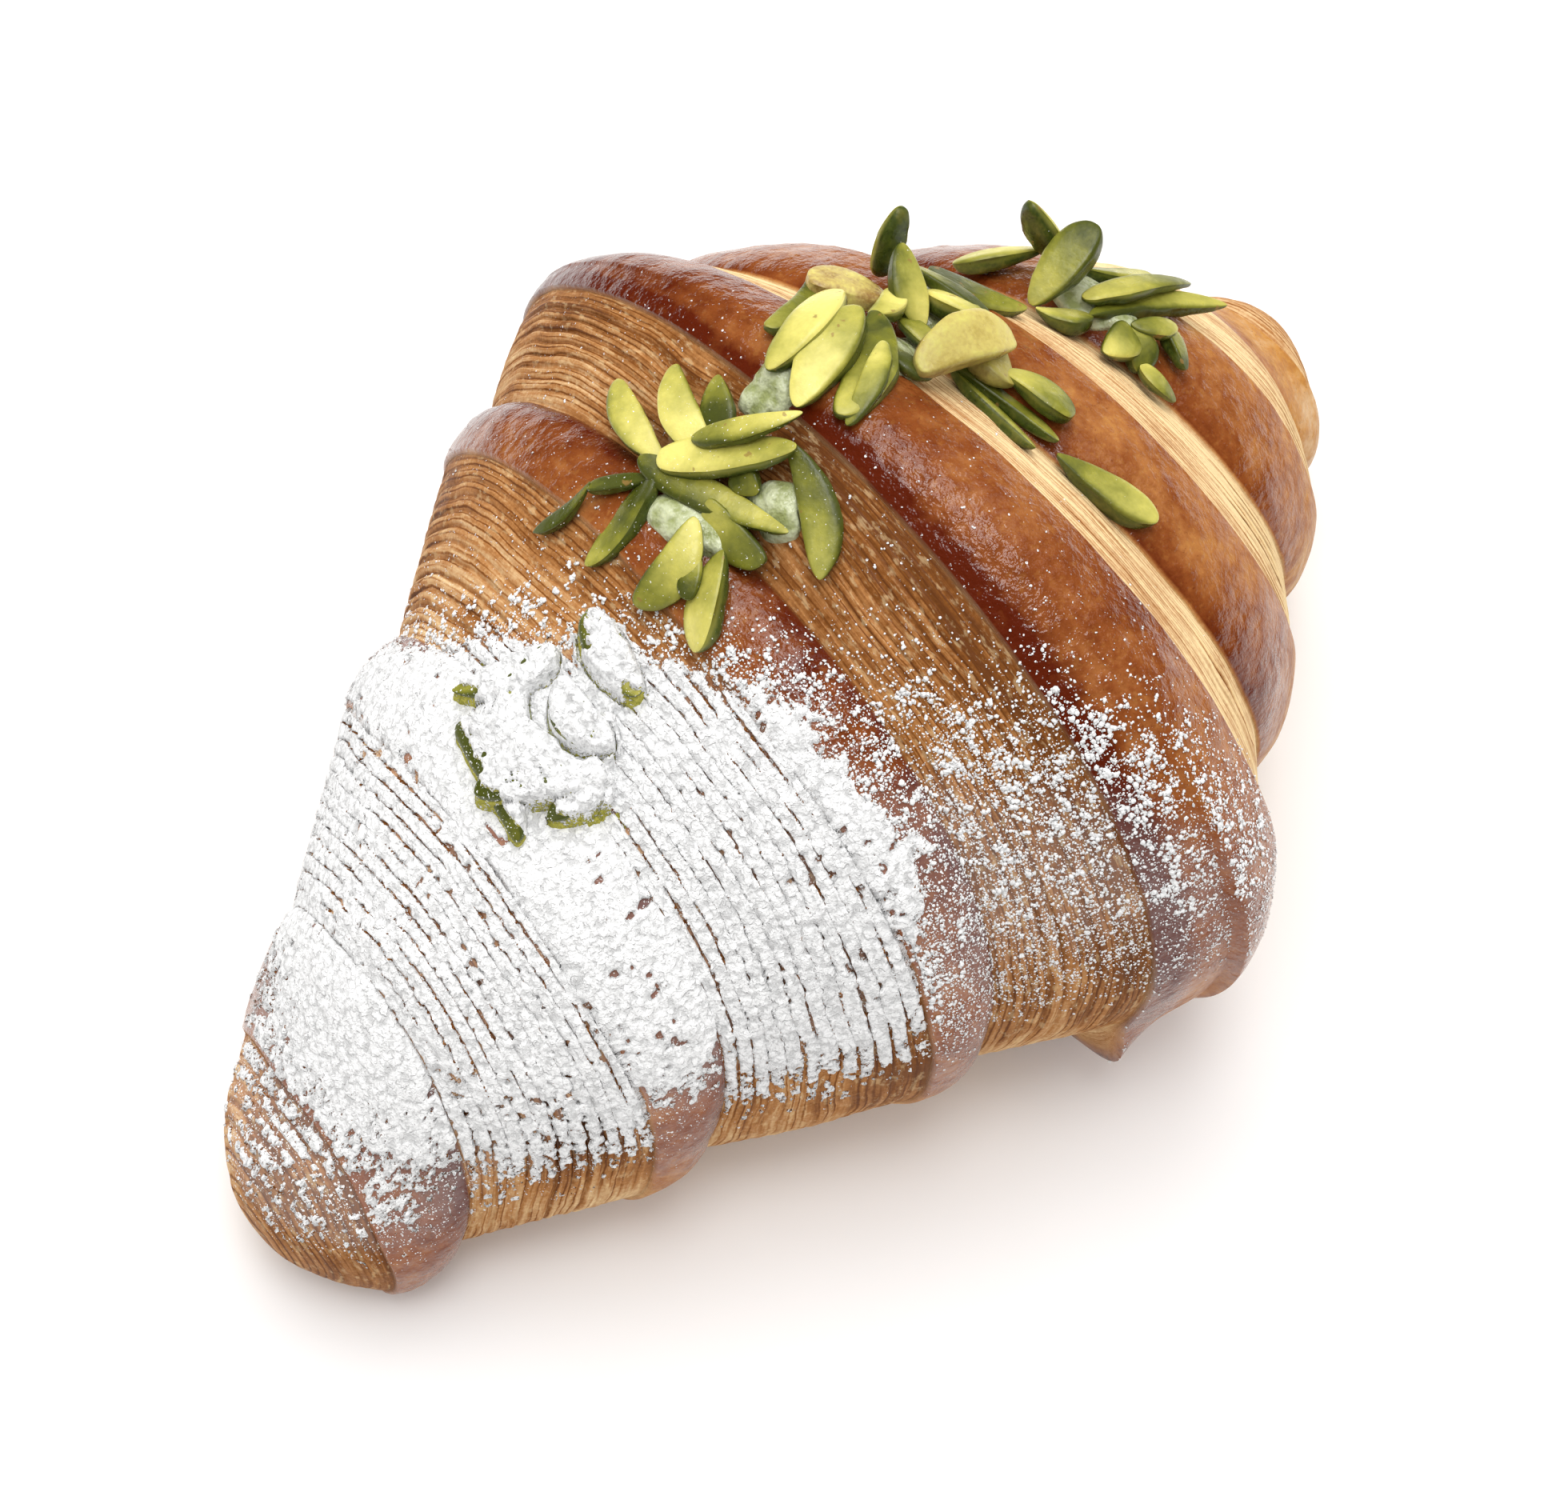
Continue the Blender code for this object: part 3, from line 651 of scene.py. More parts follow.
def crust_finish(colours):
    """Browned dough: glossy red-brown bands, paler layered faces with brown creases, a sugar haze.

    The layered faces take their lines from the phase across the layers: a crease at each whole phase
    and finer ones between, both broken along their length. The lines darken with the crease depth,
    partly as browning of the layers and partly as painted shade in the creases. The coat that shines
    lies on the bands where they are well browned and free of sugar."""
    made = Finish(bpy.data.materials.new("baked_crust"))
    spot, along = made.place(), made.place(ALONG)
    tone, cut, haze = (made.attribute(name) for name in ("tone", "cut", "haze"))
    phase, depth = made.attribute("phase"), made.attribute("depth")
    blotch, pores = made.noise(spot, "blotch"), made.noise(spot, "pores")
    mottle = made.noise(along, "mottle")

    browned = made.offset(made.offset(tone, blotch, 0.62), mottle, 0.40)
    band = made.ramp(browned, (0.0, colours.dough), (0.20, colours.gold), (0.40, colours.amber),
                     (0.62, colours.glossy), (0.95, colours.dark))
    blister = made.sharpen(made.noise(spot, "blister"), 0.54, 0.68, 0.0, 0.42)
    band = made.mix(made.times(blister, made.rest(tone)), band, colours.gold)
    band = made.mix(made.sharpen(pores, 0.62, 0.74, 0.0, 0.5), band, colours.dark)

    streak_spot = made.layer_place(phase, spot, STREAK_STRETCH)
    streak, group = made.noise(streak_spot, "streak"), made.noise(streak_spot, "streak_group")
    wobbled = made.offset(phase, made.noise(spot, "waver"), 0.24)
    # Crease and hair lines darken with the crease depth: partly browning, partly painted shade.
    crease = made.sharpen(made.math("PINGPONG", wobbled, 0.5), 0.24, 0.01)
    crease = made.times(crease, made.times(depth, 1.05))
    crease = made.times(crease, made.sharpen(group, 0.30, 0.60, 0.5, 1.15))
    hair = made.math("PINGPONG", made.times(wobbled, 2.37), 0.5)
    hair = made.times(made.sharpen(hair, 0.20, 0.05), made.sharpen(group, 0.64, 0.40))
    layered = made.line(crease, made.line(tone, -0.62, 0.76), tone)
    layered = made.line(hair, made.line(depth, 0.10, 0.34), layered)
    for pattern, amount in ((streak, 0.85), (blotch, 0.25), (pores, 0.42)):
        layered = made.offset(layered, pattern, amount)
    face = made.ramp(layered, (0.0, colours.cream_dough), (0.20, colours.dough), (0.45, colours.tan),
                     (0.72, colours.brown), (1.0, colours.burnt))
    dash = made.noise(made.layer_place(phase, spot, DASH_STRETCH), "dash")
    fleck = made.times(made.sharpen(dash, 0.53, 0.68, 0.0, 0.62), made.rest(crease))
    face = made.mix(fleck, face, made.mix(0.5, colours.cream_dough, face))
    colour = made.mix(cut, band, face)
    colour = made.mix(made.attribute("lip"), colour, colours.cream_dough)

    gather = made.offset(made.noise(spot, "grain"), made.noise(spot, "gathering"), 0.6)
    gather = made.times(made.sharpen(gather, 0.42, 0.70, 0.06, 0.50), haze)
    speck = made.math("MAXIMUM", *(made.dots(spot, size, gather) for size in DOT_SIZES))
    dusted = made.math("MAXIMUM", speck, made.times(made.sharpen(haze, 0.5, 1.0), 0.10))
    colour = made.mix(dusted, colour, colours.sugar)

    rough = made.line(cut, 0.22, made.sharpen(mottle, 0.35, 0.68, 0.30, 0.50))
    rough = made.line(dusted, 0.6, rough)
    shine = made.times(made.line(cut, -0.88, 1.0), made.sharpen(tone, 0.35, 0.62, 0.25, 1.0))
    shine = made.times(shine, made.rest(dusted))
    relief = made.bump(blotch, 0.8, made.rest(made.times(cut, 0.6), 0.8))
    relief = made.bump(made.noise(along, "wrinkle"), 0.12, 0.8, relief)
    relief = made.bump(streak, 0.22, made.times(cut, 0.6), relief)
    relief = made.bump(made.times(crease, -1.0), 0.35, cut, relief)
    relief = made.bump(speck, 0.15, 0.5, relief)
    return made.set(Base_Color=colour, Roughness=rough, Normal=relief, Specular_IOR_Level=0.02,
                    Coat_Weight=shine, Coat_Roughness=0.14, Coat_Normal=relief)


def sugar_finish(colours):
    """Matt white powder, the painted shade between its lumps softened."""
    made = Finish(bpy.data.materials.new("powdered_sugar"))
    colour, relief = made.powder(made.place(), colours)
    colour = made.mix(0.75, colour, colours.sugar)
    return made.set(Base_Color=colour, Roughness=0.95, Normal=relief, Specular_IOR_Level=0.2)


def coat_finish(colours):
    """Sugar as above, with crust or nut showing where it parts over a crease and where it thins out;
    made once and shared."""
    if "sifted_sugar" in bpy.data.materials:
        return bpy.data.materials["sifted_sugar"]
    made = Finish(bpy.data.materials.new("sifted_sugar"))
    spot = made.place()
    clump = made.noise(spot, "coat_clump")
    phase = made.offset(made.attribute("phase"), made.noise(spot, "coat_waver"), 0.30)
    crease = made.sharpen(made.math("PINGPONG", phase, 0.5), 0.20, 0.02)
    crease = made.times(crease, made.attribute("split"))
    left = made.line(crease, -1.05, made.attribute("amount"))
    left = made.offset(left, made.noise(spot, "coat_rag"), 1.9)
    left = made.offset(left, made.noise(spot, "coat_grain"), 1.0)
    bare = made.sharpen(left, 0.10, -0.04)
    crust = made.ramp(clump, (0.3, colours.burnt), (0.5, colours.brown), (0.7, colours.tan))
    nut = made.ramp(clump, (0.25, colours.nut_green), (0.6, colours.nut_lime))
    powder, relief = made.powder(spot, colours)
    colour = made.mix(bare, powder, made.mix(made.attribute("nut"), crust, nut))
    relief = made.bump(made.times(bare, -1.0), 0.30, 0.8, relief)
    return made.set(Base_Color=colour, Roughness=0.92, Normal=relief, Specular_IOR_Level=0.2)


def nut_finish(colours):
    """Pistachio: a satin cut face from yellow to green, edged and backed by darker skin, which is
    papery on some slivers and nicked here and there."""
    made = Finish(bpy.data.materials.new("pistachio"))
    spot = made.place()
    patch, fine = made.noise(spot, "nut_patch"), made.noise(spot, "nut_fine")
    greenness = made.offset(made.offset(made.attribute("tint"), patch, 0.75), fine, 0.16)
    kernel = made.ramp(greenness, (0.0, colours.nut_yellow), (0.32, colours.nut_lime),
                       (0.68, colours.nut_green), (1.0, colours.nut_deep))
    skin = made.ramp(made.offset(patch, fine, 0.6), (0.28, colours.skin_dark),
                     (0.5, colours.skin_green), (0.75, colours.skin_olive))
    papery = made.ramp(made.offset(patch, fine, 0.5), (0.30, colours.skin_tan),
                       (0.5, colours.tan_light), (0.8, colours.nut_yellow))
    colour = made.mix(made.attribute("face"), skin, kernel)
    colour = made.mix(made.attribute("tan"), colour, papery)
    nick = made.sharpen(made.noise(spot, "nut_nick"), 0.68, 0.74, 0.0, 0.7)
    colour = made.mix(nick, colour, colours.skin_tan)
    speck = made.line(made.attribute("haze"), 0.30, made.noise(spot, "nut_speck"))
    speck = made.sharpen(speck, 0.80, 0.88)
    colour = made.mix(speck, colour, colours.sugar)
    relief = made.bump(patch, 0.4, 0.3, made.bump(fine, 0.12, 0.35))
    rough = made.line(speck, 0.5, made.sharpen(patch, 0.3, 0.7, 0.24, 0.42))
    return made.set(Base_Color=colour, Roughness=rough, Normal=relief, Specular_IOR_Level=0.5,
                    Subsurface_Weight=0.10, Subsurface_Radius=(1.0, 0.8, 0.2), Subsurface_Scale=0.0012)


def cream_finish(colours):
    """Wet pale green cream."""
    made = Finish(bpy.data.materials.new("pistachio_cream"))
    lump = made.noise(made.place(), "cream_lump")
    colour = made.mix(made.sharpen(lump, 0.35, 0.6), colours.cream_shade, colours.cream)
    return made.set(Base_Color=colour, Roughness=0.14, Normal=made.bump(lump, 1.0, 0.9),
                    Coat_Weight=0.4, Coat_Roughness=0.05, Subsurface_Weight=0.15,
                    Subsurface_Radius=(1.0, 0.9, 0.5), Subsurface_Scale=0.002)


# ---------------------------------------------------------------- crust pieces

CRUST_ROWS = 250
CROWN_COLUMNS = 22
BAND_COLUMNS = 34
TIP_COLUMNS = 56
CUT_SAMPLES = 9           # mesh lines to each layer
EDGE_GAP = 0.995          # how near the mesh lines of a band come to its outer edge
CUT_GAP = 0.012           # where the first mesh line of a cut face lies
TIP_GAP = 0.01
TIP_CROWDING = 1.6

# How strongly the pale lips beside the edges show on each side.
LIP_PALE = {-1: 0.15, 1: 0.8}


def mesh_lines(side, numbers, turn, shares, short=0.0):
    """Distances of the mesh lines of some stretches, outwards: shares gives, for a stretch's number,
    how far across it each of its lines lies. The tip ends short of its point by the given length."""
    lines = []
    for number in numbers:
        inner, outer = stretch_edges(side, number, turn)
        outer = outer - short if number == 7 else outer
        lines += [inner + (outer - inner) * part for part in shares(side, number)]
    return np.array(lines)


def crust_shares(side, number):
    """Lines crowd towards the outer edge of the crown and the bands, and towards the tip's end."""
    if number == 7:
        return np.maximum(1 - np.linspace(1, 0, TIP_COLUMNS + 1)[:-1] ** TIP_CROWDING, TIP_GAP)
    if number % 2:
        return np.linspace(CUT_GAP, 1.0, LAYERS[side][(number - 1) // 2] * CUT_SAMPLES)
    count = BAND_COLUMNS + 1 if number else CROWN_COLUMNS
    parts = EDGE_GAP * np.sin(np.linspace(0, np.pi / 2, count))
    return parts[1:] if number else parts


def crust_piece(name, x, turn, poles, material):
    """One closed stretch of the roll: a grid of mesh lines with a pole at each end, which is the tip
    where its x is given and otherwise the middle of an inner wall."""
    skin = Skin(x, turn[None, :])
    points = [skin.points.reshape(-1, 3)]
    for ring, pole in zip(skin.points[[0, -1]], poles):
        middle = ring.mean(axis=0)
        if pole is not None:
            middle[0] = pole + CENTRE_X
        points.append(middle[None])
    normals = skin.normals()
    level, height_up = normals[..., 2], skin.points[..., 2]
    dense, scattered = plan_distance(skin.points)
    haze = np.maximum(smooth(dense, -8, 3), 0.85 * smooth(scattered, -2, 14))
    haze = smooth(level, 0.0, 0.5) * smooth(height_up, 6, 20) * haze
    haze = np.maximum(haze, 0.12 * smooth(skin.x, 20, -5) * smooth(level, 0.1, 0.6))
    lip = np.where(skin.kind == CUT, smooth(skin.part, 0.035, 0.0), smooth(skin.part, 0.985, 1.0))
    lip = np.where(skin.kind == TIP, 0, lip) * np.clip(0.30 + 0.8 * noise(skin.points, 3.0, 31), 0, 1)
    attributes = {"tone": skin.baking(), "phase": skin.phase, "depth": skin.depth,
                  "cut": skin.laminated, "lip": lip * by_side(skin.x, LIP_PALE), "haze": haze}
    item = mesh_object(name, np.vstack(points), tube_faces(*skin.x.shape), attributes)
    place_piece(item, material, "croissant")


class CROISSANT_OT_crust(bpy.types.Operator):
    """Make the roll: the crown with its cut faces, and the winds to its left and right"""

    bl_idname = "croissant.crust"
    bl_label = "Make crust"

    def execute(self, context):
        """The crown's piece ends with the last mesh line of the first cut faces, where the pieces of
        the winds begin."""
        material = crust_finish(context.scene.croissant_colours)
        turn = np.linspace(-np.pi, np.pi, CRUST_ROWS, endpoint=False)
        left, right = (side * mesh_lines(side, (0, 1), turn, crust_shares) for side in SIDES)
        crown = np.concatenate([left[:0:-1], right])
        crust_piece("crust_crown", crown, turn, (None, None), material)
        left, right = (side * mesh_lines(side, range(1, 8), turn, crust_shares)
                       [LAYERS[side][0] * CUT_SAMPLES - 1:] for side in SIDES)
        crust_piece("crust_left", left[::-1], turn, (-REACH[-1], None), material)
        crust_piece("crust_right", right, turn, (None, REACH[1]), material)
        return {"FINISHED"}


# ---------------------------------------------------------------- slivers and cream

# Rows: x, turn in degrees and lift of one end, the same for the other end, width, roll about its own
# length in degrees, then how green its cut face is, from 0 yellow to 1 deep green. Past 1 the sliver is
# papery, by as much as it passes 1.
LEFT_SLIVERS = (
    (-10.5, -28, 2.0, -14, -15, 2.2, 3.0, 0, 0.10),
    (-7, -21, 1.5, -11.5, -10, 1.9, 3.4, 0, 0.02),
    (-6, -15, 1.6, -9.5, -10, 2.2, 3.1, 0, 0.70),
    (-15, -14, 3.8, -7.5, -1, 3.4, 3.8, 25, 0.30),
    (-12, -12, 3.6, -5, -3, 3.0, 2.4, 0, 0.45),
    (-25.5, -26, 1.0, -20, -20, 1.8, 1.6, 0, 0.95),
    (-20.5, -20, 1.6, -16.5, -14, 2.0, 1.7, 0, 0.95),
    (-25.5, -14, 1.5, -15.5, -14, 2.6, 3.3, 20, 0.75),
    (-16, -16, 3.2, -12.5, 4, 2.6, 3.1, 0, 0.60),
    (-7, -3, 2.0, -13, 10, 1.4, 3.3, 0, 0.55),
    (-17, -5, 2.8, -25.5, -4, 1.5, 3.7, 0, 0.32),
    (-15, -6, 3.0, -15.5, 4, 2.2, 3.3, 0, 0.60),
    (-17.5, 0, 2.4, -25, 6, 1.4, 3.8, -20, 0.25),
    (-11, -6, 1.8, -11.5, -2, 2.0, 2.5, 0, 0.80),
    (-19, -3, 1.6, -22.5, 1, 1.4, 2.1, 0, 0.60),
)
MIDDLE_SLIVERS = (
    (8, -18, 4.0, 13, -12, 3.4, 4.4, 0, 2.0),
    (-4, -9, 2.6, 8, -13, 4.6, 4.2, 15, 0.05),
    (-5, -4, 3.0, 6.5, -8, 5.2, 4.6, 10, 0.30),
    (-3, 0, 1.8, 9, -9, 4.2, 4.2, 0, 0.65),
    (-3, 1, 1.2, 6, -4, 2.8, 2.2, 0, 0.30),
    (8.5, -9, 3.6, 14.5, -12, 3.6, 2.4, 0, 0.10),
    (-0.5, -13, 1.6, 9, -19, 3.6, 2.2, 0, 0.75),
    (16.5, -19, 1.2, 20, -18, 9.0, 2.8, 0, 0.20),
    (17.5, -15, 6.5, 13.5, -7, 2.0, 3.4, 0, 0.45),
    (21.5, -17, 1.6, 26.5, -5, 1.8, 4.1, 0, 0.70),
    (18, -16, 3.6, 19.5, -3, 2.4, 2.2, 0, 0.85),
    (17, -11, 2.6, 18.5, -2, 2.8, 3.8, 0, 0.05),
    (7, 0, 2.2, 18.5, 2, 3.2, 4.6, -10, 1.6),
    (12.5, -10, 2.8, 12.5, -3, 2.4, 2.2, 0, 0.55),
    (17.5, -1, 2.2, 15, 6, 1.8, 3.8, 0, 1.4),
    (16, 4, 1.6, 17.5, 14, 1.6, 3.4, 0, 0.38),
    (13, -2, 1.7, 14.5, 15, 1.4, 2.5, 0, 0.60),
    (12.5, -1, 1.6, 11.5, 14, 1.4, 2.6, 15, 0.55),
    (7, -6, 1.4, 8, 1, 1.5, 2.0, 0, 0.90),
)
RIGHT_SLIVERS = (
    (29, -26, 1.9, 37, -17, 2.6, 3.0, 0, 0.02),
    (35.5, -17, 9.0, 37.5, -12, 1.8, 3.7, 0, 0.25),
    (28.5, -7, 1.6, 38.5, -8, 8.5, 4.3, 0, 0.75),
    (33.5, -3, 2.6, 47, 4, 4.2, 2.7, 0, 0.60),
    (32.5, 0, 2.4, 47.5, 13, 5.2, 2.8, 0, 0.65),
    (37, -10, 2.4, 45.5, -4, 2.4, 2.7, 0, 0.50),
    (28.5, -6, 1.6, 33, 0, 1.8, 3.2, 0, 0.20),
    (30, 7, 1.5, 35, 6, 2.2, 3.5, 0, 0.40),
    (32.5, 13, 1.4, 35.5, 6, 2.4, 3.0, 0, 0.60),
    (35, 6, 2.6, 39.5, 11, 2.6, 2.3, 0, 0.55),
    (39, 8, 2.4, 37, 18, 1.4, 2.4, 0, 0.60),
    (33, 12, 1.7, 33.5, 21, 1.3, 2.2, 0, 0.40),
)
SUGARED_SLIVERS = (
    (-28.5, -10, 1.6, -30.5, 4, 1.8, 3.4, 0, 0.45),
    (-42, -17, 1.4, -46, 6, 1.4, 2.9, 0, 0.95),
    (-40.5, -22, 2.0, -32.5, -10, 2.6, 3.5, 0, 0.8),
    (-42, -13, 3.2, -39.5, 3, 3.4, 3.8, 0, 0.9),
    (-46, -5, 2.4, -38, 8, 2.8, 4.6, 0, 0.9),
    (-34, -7, 2.8, -35, 6, 2.6, 3.5, 0, 0.9),
    (-37, -13, 3.4, -42.5, 4, 3.2, 3.2, 0, 0.95),
    (-37.5, -18, 2.8, -41, -5, 3.0, 2.9, 0, 0.9),
    (-43, 7, 1.5, -36.5, 6, 2.2, 3.0, 0, 0.95),
)
LONE_SLIVERS = ((13.5, 16, 1.5, 17, 31, 1.5, 3.4, 0, 0.38),)

# Slivers: how much wider they are than in the tables, how deep their skin side and their cut face are
# as shares of the width, and how many points they have along and round.
SLIVER_GROWTH = 1.09
SLIVER_DEPTH = 0.52
SLIVER_FACE = 0.11
SLIVER_STATIONS = 30
SLIVER_SIDES = 28

# Heaps: piece, slivers, the node it stands for, the first sliver's seed, and the powder on them.
SUGARED_SEED = 300
HEAPS = (("slivers_left", LEFT_SLIVERS, "topping_crown", 100, 0.30),
         ("slivers_middle", MIDDLE_SLIVERS, "topping_crown", 130, 0.10),
         ("slivers_right", RIGHT_SLIVERS, "topping_right", 200, 0.0),
         ("slivers_sugared", SUGARED_SLIVERS, "topping_sugared", SUGARED_SEED, 0.55),
         ("sliver_single", LONE_SLIVERS, "sliver_lone", 400, 0.12))


def crust_point(x, turn, lift):
    """Points at a lift over the bands and cut faces."""
    x, turn = np.asarray(x, float), np.asarray(turn, float)
    kind, part, _ = stretches(x, turn)
    return mean_crust(x, turn, rough_relief(x, turn, kind, part) + lift, flat=False)


def outward_at(x, turn):
    """Unit vector out of the mean crust, from steps of half a millimetre and a fiftieth of a radian."""
    along = mean_crust(x + 0.5, turn, 0, False) - mean_crust(x - 0.5, turn, 0, False)
    around = mean_crust(x, turn + 0.02, 0, False) - mean_crust(x, turn - 0.02, 0, False)
    out = np.cross(around, along)
    return out / np.linalg.norm(out) * np.sign(out[2] + 1e-9)


def rolled(side, outward, angle):
    """A sliver's two cross vectors, turned by an angle about its length."""
    return (side * np.cos(angle) + outward * np.sin(angle),
            outward * np.cos(angle) - side * np.sin(angle))


def sliver_frame(row):
    """Ends of a sliver, the vectors to its side and outwards, and its width."""
    x0, turn0, lift0, x1, turn1, lift1, width, roll = row[:8]
    turn0, turn1 = np.radians(turn0), np.radians(turn1)
    ends = np.array([crust_point(x0, turn0, lift0), crust_point(x1, turn1, lift1)])
    axis = (ends[1] - ends[0]) / np.linalg.norm(ends[1] - ends[0])
    outward = outward_at((x0 + x1) / 2, (turn0 + turn1) / 2)
    side = np.cross(axis, outward)
    side /= np.linalg.norm(side)
    return ends, *rolled(side, np.cross(side, axis), np.radians(roll)), width


def sliver_shape(row, seed, stations=SLIVER_STATIONS, sides=SLIVER_SIDES):
    """A sliver's grid of points, its ends, and where it is cut face rather than skin.

    Along it the width follows a power of a sine, narrowed towards one end. Round it the cut face is a
    low plateau with sharp edges and the skin a deep arc. It bows, twists and is a little uneven."""
    ends, side, outward, width = sliver_frame(row)
    width = width * SLIVER_GROWTH
    draw = np.random.default_rng(seed)
    side, outward = rolled(side, outward, draw.uniform(-0.28, 0.28))
    blunt, narrow = draw.uniform(0.30, 0.58), draw.uniform(-0.9, 0.9)
    lopsided = draw.uniform(0.2, 0.6) * draw.choice((-1, 1))
    bow, sway, twist = draw.uniform(-0.05, 0.10), draw.uniform(-0.12, 0.12), draw.uniform(-0.35, 0.35)
    along = (1 - np.cos(np.linspace(0, np.pi, stations + 2)[1:-1])) / 2
    full = np.sin(np.pi * along) ** blunt * (1 + narrow * (along - 0.5))
    length = np.linalg.norm(ends[1] - ends[0])
    arch = (4 * along * (1 - along))[:, None]
    middle = ends[0] + (ends[1] - ends[0]) * along[:, None]
    middle = middle + arch * length * (bow * outward + sway * side)
    angle = np.linspace(0, 2 * np.pi, sides, endpoint=False)
    angle = angle - 0.38 * np.sin(2 * angle)
    up, over = np.sin(angle), np.cos(angle)
    depth = np.where(up > 0, SLIVER_FACE * (1 - np.abs(over) ** 9), -SLIVER_DEPTH * np.abs(up) ** 0.5)
    across, raised = rolled(side, outward, twist * (along - 0.5)[:, None, None])
    wide = (width * full)[:, None, None]
    over = over * (1 + lopsided * np.sign(over)) - lopsided * 0.7
    points = middle[:, None] + wide * (over[None, :, None] / 2 * across + depth[None, :, None] * raised)
    lump = noises(points + seed * 7.0, ((0.15, 1, 2.1, 41), (0.06, 1, 0.7, 42)))
    face = np.broadcast_to(smooth(up, -0.10, 0.05), points.shape[:2])
    rough = (1 - 0.5 * face) * (1 + 1.3 * np.abs(2 * along - 1)[:, None] ** 4)
    points = points + (lump * rough)[..., None] * (points - middle[:, None]) / (width / 2)
    return points, ends, face, along


def sliver_mesh(rows, seed, dust):
    """Points, faces and attributes of several slivers as one joined mesh.

    A cut face is greener to one side, to one end and on its rim, and deeper green low in the heap,
    which is painted shade."""
    points, quads, fans, face, tint, tan = [], [], [], [], [], []
    start = 0
    rim = np.arange(SLIVER_SIDES) % (SLIVER_SIDES // 2) == 0
    over = np.cos(np.linspace(0, 2 * np.pi, SLIVER_SIDES, endpoint=False))
    for number, row in enumerate(rows):
        grid, ends, shown, along = sliver_shape(row, seed + number)
        body, *both = tube_faces(*grid.shape[:2], start)
        points.append(np.vstack([grid.reshape(-1, 3), ends]))
        quads.append(body)
        fans += both
        total = len(points[-1])
        green = row[8] if row[8] <= 1 else 0.2
        slope = 0.24 * np.cos(np.pi * along)[:, None] * (-1) ** (number // 2)
        # Painted shade: slivers that lie low in the heap take a deeper green.
        painted_heap_shade = 0.25 * smooth((row[2] + row[5]) / 2, 4.0, 1.0)
        shade = green - 0.08 + slope + painted_heap_shade + 0.45 * rim + 0.50 * smooth(over * (-1) ** number, 0.1, 1.0)
        face.append(np.append(shown.ravel(), [0.5, 0.5]))
        tint.append(np.append(shade.ravel(), [green + 0.3] * 2))
        tan.append(np.full(total, max(row[8] - 1, 0.0)))
        start += total
    attributes = {"face": np.concatenate(face), "tint": np.concatenate(tint),
                  "tan": np.concatenate(tan), "haze": np.full(start, dust)}
    return np.vstack(points), [np.vstack(quads), np.vstack(fans)], attributes


class CROISSANT_OT_slivers(bpy.types.Operator):
    """Make the pistachio slivers of each heap"""

    bl_idname = "croissant.slivers"
    bl_label = "Make slivers"

    def execute(self, context):
        material = nut_finish(context.scene.croissant_colours)
        for name, rows, node, seed, dust in HEAPS:
            item = mesh_object(name, *sliver_mesh(rows, seed, dust))
            place_piece(item, material, node)
        return {"FINISHED"}


# Cream: the node it stands for, how wide its dabs are as a share of the solid's, and the dabs, each
# with its middle x and turn, its radius along the roll and round it, and its thickness.
CREAM = {
    "cream_crown": ("topping_crown", 0.50, (
        (-16, -7, 7.0, 9.0, 2.4), (-11, 0, 4.5, 5.5, 1.8), (-4, -9, 6.0, 4.5, 2.0),
        (8, -7, 10.0, 8.0, 2.4), (18, -11, 7.0, 8.5, 2.0))),
    "cream_right": ("topping_right", 0.50, ((36, -5, 6.5, 12.0, 2.2),)),
    "cream_sugared": ("topping_sugared", 0.62, ((-38, -6, 8.0, 10.5, 3.0),)),
}
CREAM_RINGS = 14
CREAM_SECTORS = 48
CREAM_ROOT = 1.0
CREAM_THINNED = 0.8


def cream_dab(dab, size, ring_count=CREAM_RINGS, sectors=CREAM_SECTORS):
    """A low lumpy dome that follows the crust: a half-ellipse in height over a wavy round outline. Its
    last ring and its root lie inside the crust."""
    x, turn, radius_x, radius_turn, thick = dab
    radius_x, radius_turn, thick = size * radius_x, size * radius_turn, CREAM_THINNED * thick
    section = np.hypot(half_width(x), height(x) * (1 - WAIST)) / np.sqrt(2)
    angle = np.linspace(0, 2 * np.pi, sectors, endpoint=False)[None, :]
    part = np.linspace(0.06, 1, ring_count)[:, None]
    uneven = 1 + 0.12 * np.sin(3 * angle + x) + 0.07 * np.sin(5 * angle)
    turn = np.radians(turn)
    spot_x = x + radius_x * part * uneven * np.cos(angle)
    spot_turn = turn + radius_turn / section * part * uneven * np.sin(angle)
    lift = thick * np.sqrt(np.maximum(1 - part ** 2, 0)) + 0 * angle
    lift = lift * (1 + 0.18 * noise(crust_point(spot_x, spot_turn, 0.0), 3.0, 51))
    rings = [crust_point(spot_x, spot_turn, lift), crust_point(spot_x[-1:], spot_turn[-1:], -CREAM_ROOT)]
    return np.vstack(rings), crust_point(x, turn, thick), crust_point(x, turn, -2 * CREAM_ROOT)


class CROISSANT_OT_cream(bpy.types.Operator):
    """Make the cream that shows between the slivers"""

    bl_idname = "croissant.cream"
    bl_label = "Make cream"

    def execute(self, context):
        material = cream_finish(context.scene.croissant_colours)
        for name, (node, size, dabs) in CREAM.items():
            points, faces, start = [], [], 0
            for dab in dabs:
                rings, top, root = cream_dab(dab, size)
                points.append(np.vstack([rings.reshape(-1, 3), top[None], root[None]]))
                faces += tube_faces(*rings.shape[:2], start, turned=True)
                start += len(points[-1])
            place_piece(mesh_object(name, np.vstack(points), faces), material, node)
        return {"FINISHED"}


# ---------------------------------------------------------------- the sugar coat

